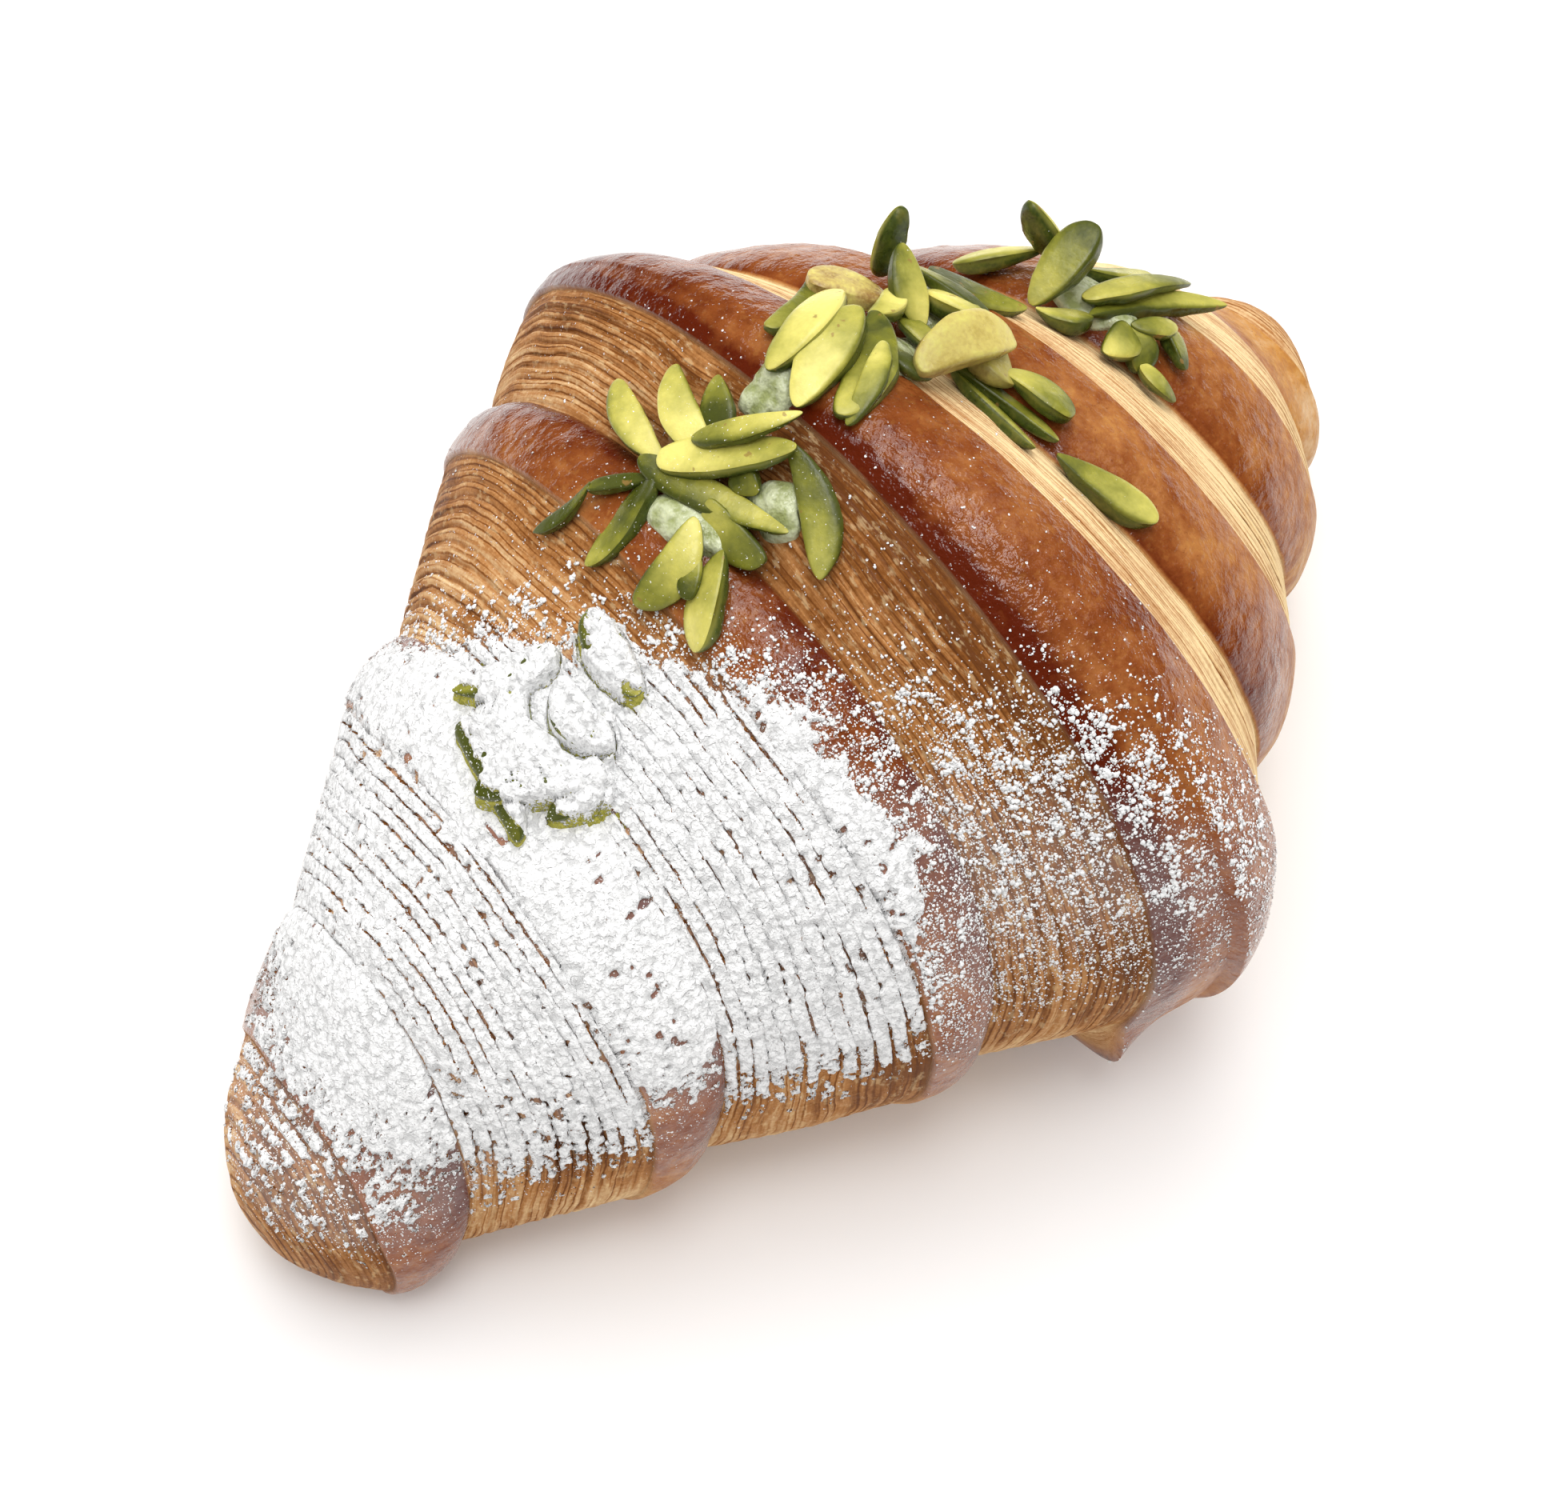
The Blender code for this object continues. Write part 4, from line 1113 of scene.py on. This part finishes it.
COAT_TURNS = (-1.75, 1.95)
COAT_ROWS = 613
COAT_SAMPLES = 8          # mesh lines to each layer
FIRST_CUT_LINES = 24      # of the first cut face, only its outer mesh lines
COAT_BAND_LINES = 34
COAT_TIP_LINES = 34
COAT_STEP = 12            # mesh lines of the top to each one of the bottom
COAT_SINK = 0.45
COAT_BOTTOM = 0.9
COAT_DIP = 0.14           # how much lower the mesh line next to the border lies
COAT_SPLITS = (0, 110, 215, None)
COAT_LAP = 3
COAT_CLOSED = 0.62        # amount of sugar from which the coat is closed
TIP_SHORT = 0.6           # how far before the tip's end the coat ends
# Middle of the sugared heap, and half its length along the roll and round it in degrees.
HEAP_X = -38
HEAP_TURN = -0.10
HEAP_LENGTH = 7.0
HEAP_DEGREES = 17
# Size in millimetres and seed of the lumps, grains and fine grains in the coat's surface and the caps'.
COAT_LUMPS = ((1.3, 61), (0.55, 62), (0.33, 64))
CAP_LUMPS = ((1.4, 81), (0.6, 82), (0.35, 83))


def coat_shares(side, number):
    """Even lines across each stretch, and only the outer ones of the first cut face."""
    if number == 7:
        return np.linspace(0.02, 1, COAT_TIP_LINES)
    if number % 2:
        parts = np.linspace(CUT_GAP, 1.0, LAYERS[side][(number - 1) // 2] * COAT_SAMPLES)
        return parts[-FIRST_CUT_LINES:] if number == 1 else parts
    return np.linspace(0, 0.98, COAT_BAND_LINES + 1)[1:]


def coat_cover(skin, normals):
    """How much sugar lies at each place, from bare at or under 0 to well covered at 1, and how far it
    parts over a crease: the cover less a mix of noises, with holes, and bare below the sugared heap."""
    points = skin.points
    dense, _ = plan_distance(points)
    cover = facing_up(skin, normals) * smooth(dense, -4.0, 3.0)
    lump, grain, fine = (noise(points, size, seed) for size, seed in COAT_LUMPS)
    pattern = np.clip(0.5 + 0.28 * lump + 0.55 * grain + 0.45 * fine, 0, 1.25)
    hole = smooth(noise(points, 0.8, 66), 0.52, 0.70) * smooth(noise(points, 6.0, 67), -0.1, 0.3)
    heap = np.hypot((skin.x - HEAP_X) / HEAP_LENGTH, np.degrees(skin.turn - HEAP_TURN) / HEAP_DEGREES)
    amount = 1.32 * cover - pattern * (1 - 0.7 * cover) - 1.4 * hole - smooth(heap, 1.0, 0.7)
    broken = np.clip(noises(points, ((0.9, (1, 0.5, 0.5), 1.6, 65),), 0.72), 0, 1.2)
    layer = np.round(skin.phase).astype(int)
    own = np.clip(0.85 + 0.45 * table(68)[layer % LATTICE, skin.wind, 0], 0.4, 1.15)
    split = np.where(skin.laminated, broken * own, 0) * (1.75 - 0.65 * cover)
    return np.where(cover < 0.02, -1, np.minimum(amount, COAT_CLOSED)), split, (lump, grain, fine)


def coat_lift(skin, normals, depth):
    """Height of the sugar over the crust, with its amount and how far it parts over the creases. It
    sinks into the crust where there is no sugar, and fills the creases where there is enough."""
    amount, split, (lump, grain, fine) = coat_cover(skin, normals)
    crack = (1 - smooth(skin.across + 0.08 * grain, 0.02, 0.17)) * split * (0.8 + 0.5 * fine)
    rise = smooth(amount - 1.3 * crack, -0.15, 0.30)
    lumps = 0.08 * lump + 0.13 * grain + 0.07 * fine + 0.08 * noise(skin.points, 3.2, 63)
    lumps = lumps - 0.8 * skin.ridge
    full = smooth(amount, 0.0, 0.5)
    return -COAT_SINK + rise * (COAT_SINK + depth / MM * (0.3 + 0.7 * full) + lumps * full), amount, split


def coat_sheet(name, x, turn, depth, material):
    """A closed sheet: its top is the sugar's surface, which dips towards its border, its bottom is a
    coarser grid inside the crust. Neighbouring sheets lap over each other by a few mesh lines."""
    skin = Skin(x, turn[None, :])
    normals = skin.normals()
    lift, amount, split = coat_lift(skin, normals, depth)
    lift[[1, -2]] -= COAT_DIP
    lift[[2, -3]] -= COAT_DIP / 2
    lift[[0, -1]] = -COAT_SINK
    lift[:, [0, -1]] = -COAT_SINK
    top = skin.points + normals * lift[..., None]
    under = skin.points[:, ::COAT_STEP] - normals[:, ::COAT_STEP] * COAT_BOTTOM
    count, sides = lift.shape
    steps, base = under.shape[1], lift.size
    faces = [grid_faces(count, sides, closed=False)[:, ::-1],
             grid_faces(count, steps, closed=False, start=base)]
    row = np.arange(count - 1)
    for column, low in ((0, 0), (sides - 1, steps - 1)):
        quad = np.stack([row * sides + column, (row + 1) * sides + column,
                         base + (row + 1) * steps + low, base + row * steps + low], -1)
        faces.append(quad if column else quad[:, ::-1])
    for line in (0, count - 1):
        loop = np.concatenate([line * sides + np.arange(sides),
                               base + line * steps + np.arange(steps)[::-1]])[None]
        faces.append(loop if line else loop[:, ::-1])
    item = mesh_object(name, np.vstack([top.reshape(-1, 3), under.reshape(-1, 3)]), faces,
                       {"phase": skin.phase, "split": split, "amount": amount})
    place_piece(item, material)


class CROISSANT_OT_coat(bpy.types.Operator):
    """Make the dense coat of sugar on the left half"""

    bl_idname = "croissant.coat"
    bl_label = "Make sugar coat"

    def execute(self, context):
        material = coat_finish(context.scene.croissant_colours)
        turn = np.linspace(*COAT_TURNS, COAT_ROWS)
        lines = mesh_lines(-1, range(1, 8), turn, coat_shares, TIP_SHORT)
        for number, (start, end) in enumerate(zip(COAT_SPLITS[:-1], COAT_SPLITS[1:]), 1):
            start = max(start - COAT_LAP, 0)
            end = len(lines) if end is None else end + COAT_LAP
            coat_sheet(f"sugar_coat_{number}", -lines[start:end][::-1], turn,
                       context.scene.croissant_sugar.depth, material)
        return {"FINISHED"}


# ---------------------------------------------------------------- sugar on the heap

CAP_CELL = 0.13
CAP_MARGIN = 2.6
CAP_BARE = 12             # cells left bare at the heap's left border
CAP_DEPTH = 0.45
CAP_SKIRT = 1.6           # how far the cap's border lies below the crust
NOTHING = -100.0          # height of a cell with nothing of the heap in it
# Points along and round each sliver, and rings and sectors of the cream, for the heap's height.
CAP_SLIVER = (220, 240)
CAP_CREAM = (120, 320)


def blurred(values, passes):
    """Each pass averages every cell with its neighbours, weights 1, 2 and 1 along both axes."""
    for _ in range(passes):
        for axis in (0, 1):
            values = (np.roll(values, 1, axis) + 2 * values + np.roll(values, -1, axis)) / 4
    return values


def ground_height(x, y):
    """Height of the mean crust below a place seen from above."""
    along = x - CENTRE_X
    sine = (CENTRE_Y + lean(along) - y) / (half_width(along) * cap(along))
    return mean_crust(along, np.arcsin(np.clip(sine, -1, 1)), 0.0)[..., 2]


def heap_height(rows, seed, dab, size):
    """Axes of a plan grid over a heap and the height of the heap's top at each place."""
    cloud = [sliver_shape(row, seed + number, *CAP_SLIVER)[0].reshape(-1, 3)
             for number, row in enumerate(rows)]
    cloud = np.vstack([*cloud, cream_dab(dab, size, *CAP_CREAM)[0].reshape(-1, 3)])
    low = cloud.min(axis=0)[:2] - CAP_MARGIN
    count = np.ceil((cloud.max(axis=0)[:2] + CAP_MARGIN - low) / CAP_CELL).astype(int) + 1
    top = np.full(count, NOTHING)
    place = np.round((cloud[:, :2] - low) / CAP_CELL).astype(int)
    np.maximum.at(top, (place[:, 0], place[:, 1]), cloud[:, 2])
    shifted = [np.roll(top, step, axis) for step in (-1, 1) for axis in (0, 1)]
    top = np.where(top > NOTHING, top, np.maximum.reduce(shifted))
    x, y = (start + CAP_CELL * np.arange(number) for start, number in zip(low, count))
    return x, y, top


class CROISSANT_OT_caps(bpy.types.Operator):
    """Make the sugar that lies on the sugared slivers"""

    bl_idname = "croissant.caps"
    bl_label = "Make sugar caps"

    def execute(self, context):
        """A height over a plan grid: the heap's top, blurred, plus a lumpy depth where it is not
        steep; elsewhere the surface drops below the crust."""
        material = coat_finish(context.scene.croissant_colours)
        node, size, dabs = CREAM["cream_sugared"]
        x, y, top = heap_height(SUGARED_SLIVERS, SUGARED_SEED, dabs[0], size)
        plan_x, plan_y = np.meshgrid(x, y, indexing="ij")
        ground = ground_height(plan_x, plan_y)
        filled = np.maximum(top, ground)
        even, inner = blurred(filled, 3), blurred(1.0 * (top > NOTHING), 30)
        slope = np.hypot(*np.gradient(even, CAP_CELL))
        spot = np.stack([plan_x, plan_y, even], -1)
        dense, _ = plan_distance(spot)
        lump, grain, fine = (noise(spot, size, seed) for size, seed in CAP_LUMPS)
        ragged = 0.6 * grain + 0.4 * fine
        cover = smooth(slope + 1.2 * ragged, 10.0, 6.5)
        cover = cover * smooth(dense + 2.0 * lump + 1.6 * ragged, -4.6, -1.2)
        cover = cover * smooth(np.roll(inner, CAP_BARE, 0) + 0.12 * ragged, 0.08, 0.30)
        cover = cover * smooth(even - filled + 0.15 * ragged, 0.40, 0.10)
        depth = CAP_DEPTH + 0.34 * lump + 0.34 * grain + 0.24 * fine
        low = np.minimum(even, filled) - 0.6
        height = low + smooth(cover, 0.0, 0.45) * (even + depth - low)
        amount = np.minimum(0.95 * cover - 0.25 + 0.3 * ragged, COAT_CLOSED)
        outside = inner + 0.15 * ragged <= 0.16
        outside[[0, -1]] = outside[:, [0, -1]] = True
        height = np.where(outside, ground - CAP_SKIRT, height)
        index = np.arange(height.size).reshape(height.shape)
        ring = np.concatenate([index[0, :-1], index[:-1, -1], index[-1, :0:-1], index[:0:-1, 0]])
        bottom = np.array([[x.mean(), y.mean(), ground.min() - 3]])
        points = np.vstack([np.stack([plan_x, plan_y, height], -1).reshape(-1, 3), bottom])
        faces = [grid_faces(*height.shape, closed=False)[:, ::-1], fan(height.size, ring)]
        item = mesh_object("sugar_caps", points, faces, {"amount": amount, "nut": np.ones(len(points))})
        place_piece(item, material, node)
        return {"FINISHED"}


# ---------------------------------------------------------------- scattered sugar

CLOUD_TURNS = (-1.9, 2.0)
CLOUD_ROWS = 420
CLOUD_COLUMNS = 900
CLOUD_END = 30.0
LUMP_CORNERS = 12
FLATTENED = 0.4


def icosahedron():
    """Corners and faces of a regular icosahedron, from the golden ratio. Three corners make a face
    where all of them are an edge's length apart."""
    gold = (1 + 5 ** 0.5) / 2
    corners = [(0, s, t * gold) for s in SIDES for t in SIDES]
    corners += [(s, t * gold, 0) for s in SIDES for t in SIDES]
    corners += [(t * gold, 0, s) for s in SIDES for t in SIDES]
    corners = np.array(corners) / np.hypot(1, gold)
    faces = []
    for a, b, c in combinations(range(LUMP_CORNERS), 3):
        trio = corners[[a, b, c]]
        if max(np.linalg.norm(trio[i] - trio[i - 1]) for i in range(3)) < 1.1:
            inwards = np.dot(np.cross(trio[1] - trio[0], trio[2] - trio[0]), trio[0]) < 0
            faces.append((a, c, b) if inwards else (a, b, c))
    return corners, np.array(faces)


def scatter(name, spots, out, radii, seed, material):
    """Lumps at the given places as one mesh: each an icosahedron with uneven corners, turned at
    random and flattened along the surface's normal."""
    corners, faces = icosahedron()
    draw = np.random.default_rng(seed)
    count = len(spots)
    turned = np.linalg.qr(draw.normal(size=(count, 3, 3)))[0]
    lump = corners[None] * draw.uniform(0.62, 1.3, (count, LUMP_CORNERS, 1))
    lump = np.einsum("nij,nkj->nki", turned, lump)
    flatten = (lump * out[:, None]).sum(-1, keepdims=True) * out[:, None] * FLATTENED
    points = spots[:, None] + (lump - flatten) * radii[:, None, None]
    mirrored = np.linalg.det(turned) < 0
    all_faces = np.where(mirrored[:, None, None], faces[None, :, ::-1], faces[None])
    all_faces = (all_faces + np.arange(count)[:, None, None] * LUMP_CORNERS).reshape(-1, 3)
    place_piece(mesh_object(name, points, [all_faces]), material)


def strew(name, skin, normals, weight, count, sizes, most, seed, material):
    """Groups of up to most lumps at random places, drawn with the given weight, the bigger ones
    rarer. A group's lumps lie within about their own radius of its place."""
    draw = np.random.default_rng(seed)
    flat = (weight / weight.sum()).ravel()
    groups = int(count / (1 + most) * 2)
    picked = draw.choice(flat.size, groups, p=flat)
    repeat = draw.integers(1, most + 1, groups)
    radius = sizes[0] + (sizes[1] - sizes[0]) * draw.random(groups) ** 2.2
    spots, out = (np.repeat(each.reshape(-1, 3)[picked], repeat, 0) for each in (skin.points, normals))
    radii = np.repeat(radius, repeat) * draw.uniform(0.6, 1.1, len(spots))
    shift = draw.normal(size=(len(spots), 3)) * radii[:, None]
    shift -= (shift * out).sum(-1, keepdims=True) * out
    shift = shift * (1.0 if most > 1 else 0.6) + draw.normal(size=(len(spots), 3)) * 0.04
    spots = spots + shift + out * radii[:, None] * 0.3
    scatter(name, spots[:count], out[:count], radii[:count], seed + 50, material)


class CROISSANT_OT_grains(bpy.types.Operator):
    """Scatter sugar on the crust, in clumps and in single grains"""

    bl_idname = "croissant.grains"
    bl_label = "Scatter sugar"

    def execute(self, context):
        """Sugar keeps to level places, to the crests of the layers and to bunches. Clumps lie inside
        the scattered part and round the coat, grains reach further out and lie thinly on the rest of
        the left half, and dust lies in the scattered part alone."""
        sugar = context.scene.croissant_sugar
        material = sugar_finish(context.scene.croissant_colours)
        turn = np.linspace(*CLOUD_TURNS, CLOUD_ROWS)
        x = np.linspace(-REACH[-1] + 1.0, CLOUD_END, CLOUD_COLUMNS)[:, None] + 0 * turn
        skin = Skin(x, turn[None, :])
        points, normals = skin.points, skin.normals()
        area = np.linalg.norm(np.cross(*skin.steps()), axis=-1)
        dense, scattered = plan_distance(points)
        level, z = normals[..., 2], points[..., 2]
        bunch = smooth(noise(points, 2.2, 71), -0.5, 0.5) * smooth(noise(points, 1.0, 72), -0.4, 0.3)
        bunch = 0.16 + 0.84 * bunch
        crest = np.where(skin.laminated, 0.45 + 0.55 * smooth(skin.across, 0.1, 0.3), 1.0)
        near = smooth(dense, -8.5, 0.0) * smooth(dense, 4, 1)
        inside = smooth(scattered, -1.0, 9) * smooth(level, 0.30, 0.62)
        clumps = bunch * crest * smooth(level, 0.2, 0.5) * np.maximum(1.3 * near, inside)
        clumps = clumps * (dense < 4) * np.where((skin.kind == BAND) & (dense < -0.5), 0.45, 1.0)
        grains = smooth(level, 0.02, 0.35) * smooth(z, 10, 20) * crest * (0.12 + 0.88 * bunch)
        grains = grains * np.maximum(smooth(dense, -15, 1), smooth(scattered, -6, 9)) * (dense < 5)
        grains = grains + 0.035 * smooth(level, 0.2, 0.7) * (skin.x < 16) * smooth(dense, -45, -8)
        dust = crest * (0.35 + 0.65 * bunch) * smooth(level, 0.0, 0.3) * smooth(z, 8, 16)
        dust = dust * smooth(scattered, -3, 7) * (dense < -1) * np.where(skin.kind == CROWN, 0.45, 1.0)
        for name, weight, count, sizes, most, seed in (
                ("sugar_clumps", clumps, sugar.clumps, (0.09, 0.34), 4, 501),
                ("sugar_grains", grains, sugar.grains, (0.06, 0.17), 2, 502),
                ("sugar_dust", dust, sugar.grains, (0.07, 0.19), 1, 503)):
            strew(name, skin, normals, area * weight, count, sizes, most, seed, material)
        return {"FINISHED"}


# ---------------------------------------------------------------- stage

AIM = Vector((-8.45, -3.1, 23.9)) * MM
CAMERA_AZIMUTH = -43.7
CAMERA_ELEVATION = 61.5
CAMERA_DISTANCE = 0.227
CAMERA_LENS = 50.35
CAMERA_CLIP = 0.01
LAMP_DISTANCE = 0.9
# Lamps: azimuth and elevation they stand at, size, and power as a share of the key light's.
LAMPS = {"key": (140, 66, 0.55, 1), "top_box": (20, 85, 0.36, 0.95), "side_box": (84, 42, 0.34, 0.12)}
FLOOR_HALF = 3.0
FLOOR_DROP = 0.02
# The sky: its colour, the way to its bright side, and how strong it is away from there and there.
SKY_COLOUR = (1.0, 0.985, 0.965, 1)
SKY_BRIGHT_SIDE = (150, 72)
SKY_STRENGTHS = (0.50, 1.32)


def direction(azimuth, elevation):
    """Unit vector towards a place round the object; azimuth 0 is the front, 90 the right."""
    a, e = np.radians(azimuth), np.radians(elevation)
    return Vector((np.sin(a) * np.cos(e), -np.cos(a) * np.cos(e), np.sin(e)))


def area_light(name, towards, size, power):
    """A round lamp that stands towards the given way and looks at the aim."""
    data = bpy.data.lights.new(name, "AREA")
    data.shape = "DISK"
    data.size = size
    data.energy = power
    lamp = bpy.data.objects.new(name, data)
    lamp.location = AIM + towards * LAMP_DISTANCE
    lamp.rotation_euler = (-towards).to_track_quat("-Z", "Y").to_euler()
    bpy.context.scene.collection.objects.link(lamp)


def sky(scene, fill):
    """Pale light from all round, brightest behind the roll, which no gloss mirrors."""
    world = scene.world = bpy.data.worlds.new("studio")
    made = Finish(world, "Background")
    spot = made.add("ShaderNodeTexCoord", {}, "Generated")
    facing = made.add("ShaderNodeVectorMath", {0: spot, 1: direction(*SKY_BRIGHT_SIDE)}, "Value",
                      operation="DOT_PRODUCT")
    strength = made.sharpen(facing, 0.0, 0.8, *(share * fill for share in SKY_STRENGTHS))
    made.set(Color=SKY_COLOUR, Strength=strength)
    world.cycles_visibility.glossy = False


class CROISSANT_OT_stage(bpy.types.Operator):
    """Set the pale floor, the soft lights and the camera"""

    bl_idname = "croissant.stage"
    bl_label = "Set stage"

    def execute(self, context):
        scene = context.scene
        stage = scene.croissant_stage
        corners = np.array([(-1, -1), (1, -1), (1, 1), (-1, 1)]) * FLOOR_HALF / MM
        floor = mesh_object("floor", np.c_[corners, np.full(4, -FLOOR_DROP)], [np.arange(4)[None]])
        made = Finish(bpy.data.materials.new("pale_floor"))
        floor.data.materials.append(made.set(Base_Color=(*stage.floor_colour, 1), Roughness=0.55))
        sky(scene, stage.fill)
        for name, (azimuth, elevation, size, power) in LAMPS.items():
            area_light(name, direction(azimuth, elevation), size, stage.key * power)
        camera = bpy.data.objects.new("camera", bpy.data.cameras.new("camera"))
        camera.data.lens = CAMERA_LENS
        camera.data.clip_start = CAMERA_CLIP
        camera.location = AIM + direction(CAMERA_AZIMUTH, CAMERA_ELEVATION) * CAMERA_DISTANCE
        camera.rotation_euler = (np.radians(90 - CAMERA_ELEVATION), 0, np.radians(CAMERA_AZIMUTH))
        scene.collection.objects.link(camera)
        scene.camera = camera
        scene.view_settings.view_transform = "Standard"
        return {"FINISHED"}


# ---------------------------------------------------------------- settings

def colour_setting(name, description, value):
    return bpy.props.FloatVectorProperty(name=name, description=description, default=value, size=3,
                                         min=0, max=1, subtype="COLOR")


class CroissantColours(bpy.types.PropertyGroup):
    """Colours of the crust, the nuts, the cream and the sugar"""

    cream_dough: colour_setting("Cream dough", "Palest layers and lips", (0.90, 0.68, 0.37))
    dough: colour_setting("Dough", "Lightly baked dough", (0.68, 0.44, 0.225))
    gold: colour_setting("Gold", "Golden crust", (0.56, 0.265, 0.066))
    amber: colour_setting("Amber", "Light glossy crust", (0.40, 0.150, 0.042))
    glossy: colour_setting("Glossy crust", "Main colour of the bands", (0.25, 0.066, 0.014))
    dark: colour_setting("Dark crust", "Most browned places", (0.105, 0.012, 0.002))
    tan: colour_setting("Tan", "Baked layers", (0.455, 0.205, 0.068))
    # Brown and burnt darken the creases between layers, partly as browning and partly as painted shade;
    # they also colour well-browned layers.
    brown: colour_setting("Brown", "Creases between layers", (0.215, 0.074, 0.016))
    burnt: colour_setting("Burnt", "Deepest creases", (0.135, 0.044, 0.012))
    sugar: colour_setting("Sugar", "Powdered sugar", (0.935, 0.94, 0.945))
    nut_yellow: colour_setting("Nut yellow", "Yellowest cut faces", (0.80, 0.72, 0.19))
    nut_lime: colour_setting("Nut lime", "Yellow-green cut faces", (0.52, 0.48, 0.095))
    nut_green: colour_setting("Nut green", "Green cut faces", (0.235, 0.235, 0.026))
    nut_deep: colour_setting("Nut deep green", "Darkest cut faces", (0.070, 0.082, 0.008))
    skin_dark: colour_setting("Skin dark", "Dark nut skin", (0.028, 0.040, 0.006))
    skin_green: colour_setting("Skin green", "Green nut skin", (0.060, 0.082, 0.010))
    skin_olive: colour_setting("Skin olive", "Olive nut skin", (0.14, 0.14, 0.020))
    skin_tan: colour_setting("Skin tan", "Papery nut skin", (0.30, 0.17, 0.045))
    tan_light: colour_setting("Skin tan light", "Light papery skin", (0.55, 0.41, 0.13))
    cream: colour_setting("Cream", "Cream", (0.62, 0.66, 0.42))
    cream_shade: colour_setting("Cream shade", "Shaded cream", (0.34, 0.38, 0.15))


class CroissantSugar(bpy.types.PropertyGroup):
    """How much sugar lies on the roll"""

    depth: bpy.props.FloatProperty(name="Depth", description="Depth of the dense coat", default=0.00045,
                                   min=0, max=0.003, subtype="DISTANCE", unit="LENGTH")
    clumps: bpy.props.IntProperty(name="Clumps", description="Lumps in scattered clumps", default=8600,
                                  min=0, max=9900)
    grains: bpy.props.IntProperty(name="Grains", description="Single grains", default=8600,
                                  min=0, max=9900)


class CroissantStage(bpy.types.PropertyGroup):
    """Floor and light"""

    floor_colour: colour_setting("Floor", "Colour of the floor", (0.89, 0.885, 0.89))
    key: bpy.props.FloatProperty(name="Key", description="Power of the key light in watts", default=2.05,
                                 min=0, unit="POWER")
    fill: bpy.props.FloatProperty(name="Fill", description="Strength of the surrounding light",
                                  default=0.90, min=0)


class CROISSANT_PT_panel(bpy.types.Panel):
    """Settings and steps of the croissant"""

    bl_idname = "CROISSANT_PT_panel"
    bl_label = "Croissant"
    bl_space_type = "VIEW_3D"
    bl_region_type = "UI"
    bl_category = "Croissant"

    def draw(self, context):
        for group in (context.scene.croissant_sugar, context.scene.croissant_stage,
                      context.scene.croissant_colours):
            box = self.layout.box()
            for key in group.bl_rna.properties.keys():
                if key not in ("rna_type", "name"):
                    box.prop(group, key)
        for step in STEPS:
            self.layout.operator(step.bl_idname)


GROUPS = {"croissant_colours": CroissantColours, "croissant_sugar": CroissantSugar,
          "croissant_stage": CroissantStage}
STEPS = (CROISSANT_OT_crust, CROISSANT_OT_slivers, CROISSANT_OT_cream, CROISSANT_OT_coat,
         CROISSANT_OT_caps, CROISSANT_OT_grains, CROISSANT_OT_stage)


def register():
    for each in (*GROUPS.values(), *STEPS, CROISSANT_PT_panel):
        bpy.utils.register_class(each)
    for key, group in GROUPS.items():
        setattr(bpy.types.Scene, key, bpy.props.PointerProperty(type=group))


def unregister():
    for key in GROUPS:
        delattr(bpy.types.Scene, key)
    for each in (CROISSANT_PT_panel, *reversed(STEPS), *reversed(GROUPS.values())):
        bpy.utils.unregister_class(each)


def main():
    register()
    for step in STEPS:
        group, name = step.bl_idname.split(".")
        getattr(getattr(bpy.ops, group), name)()


if __name__ == "__main__":
    main()
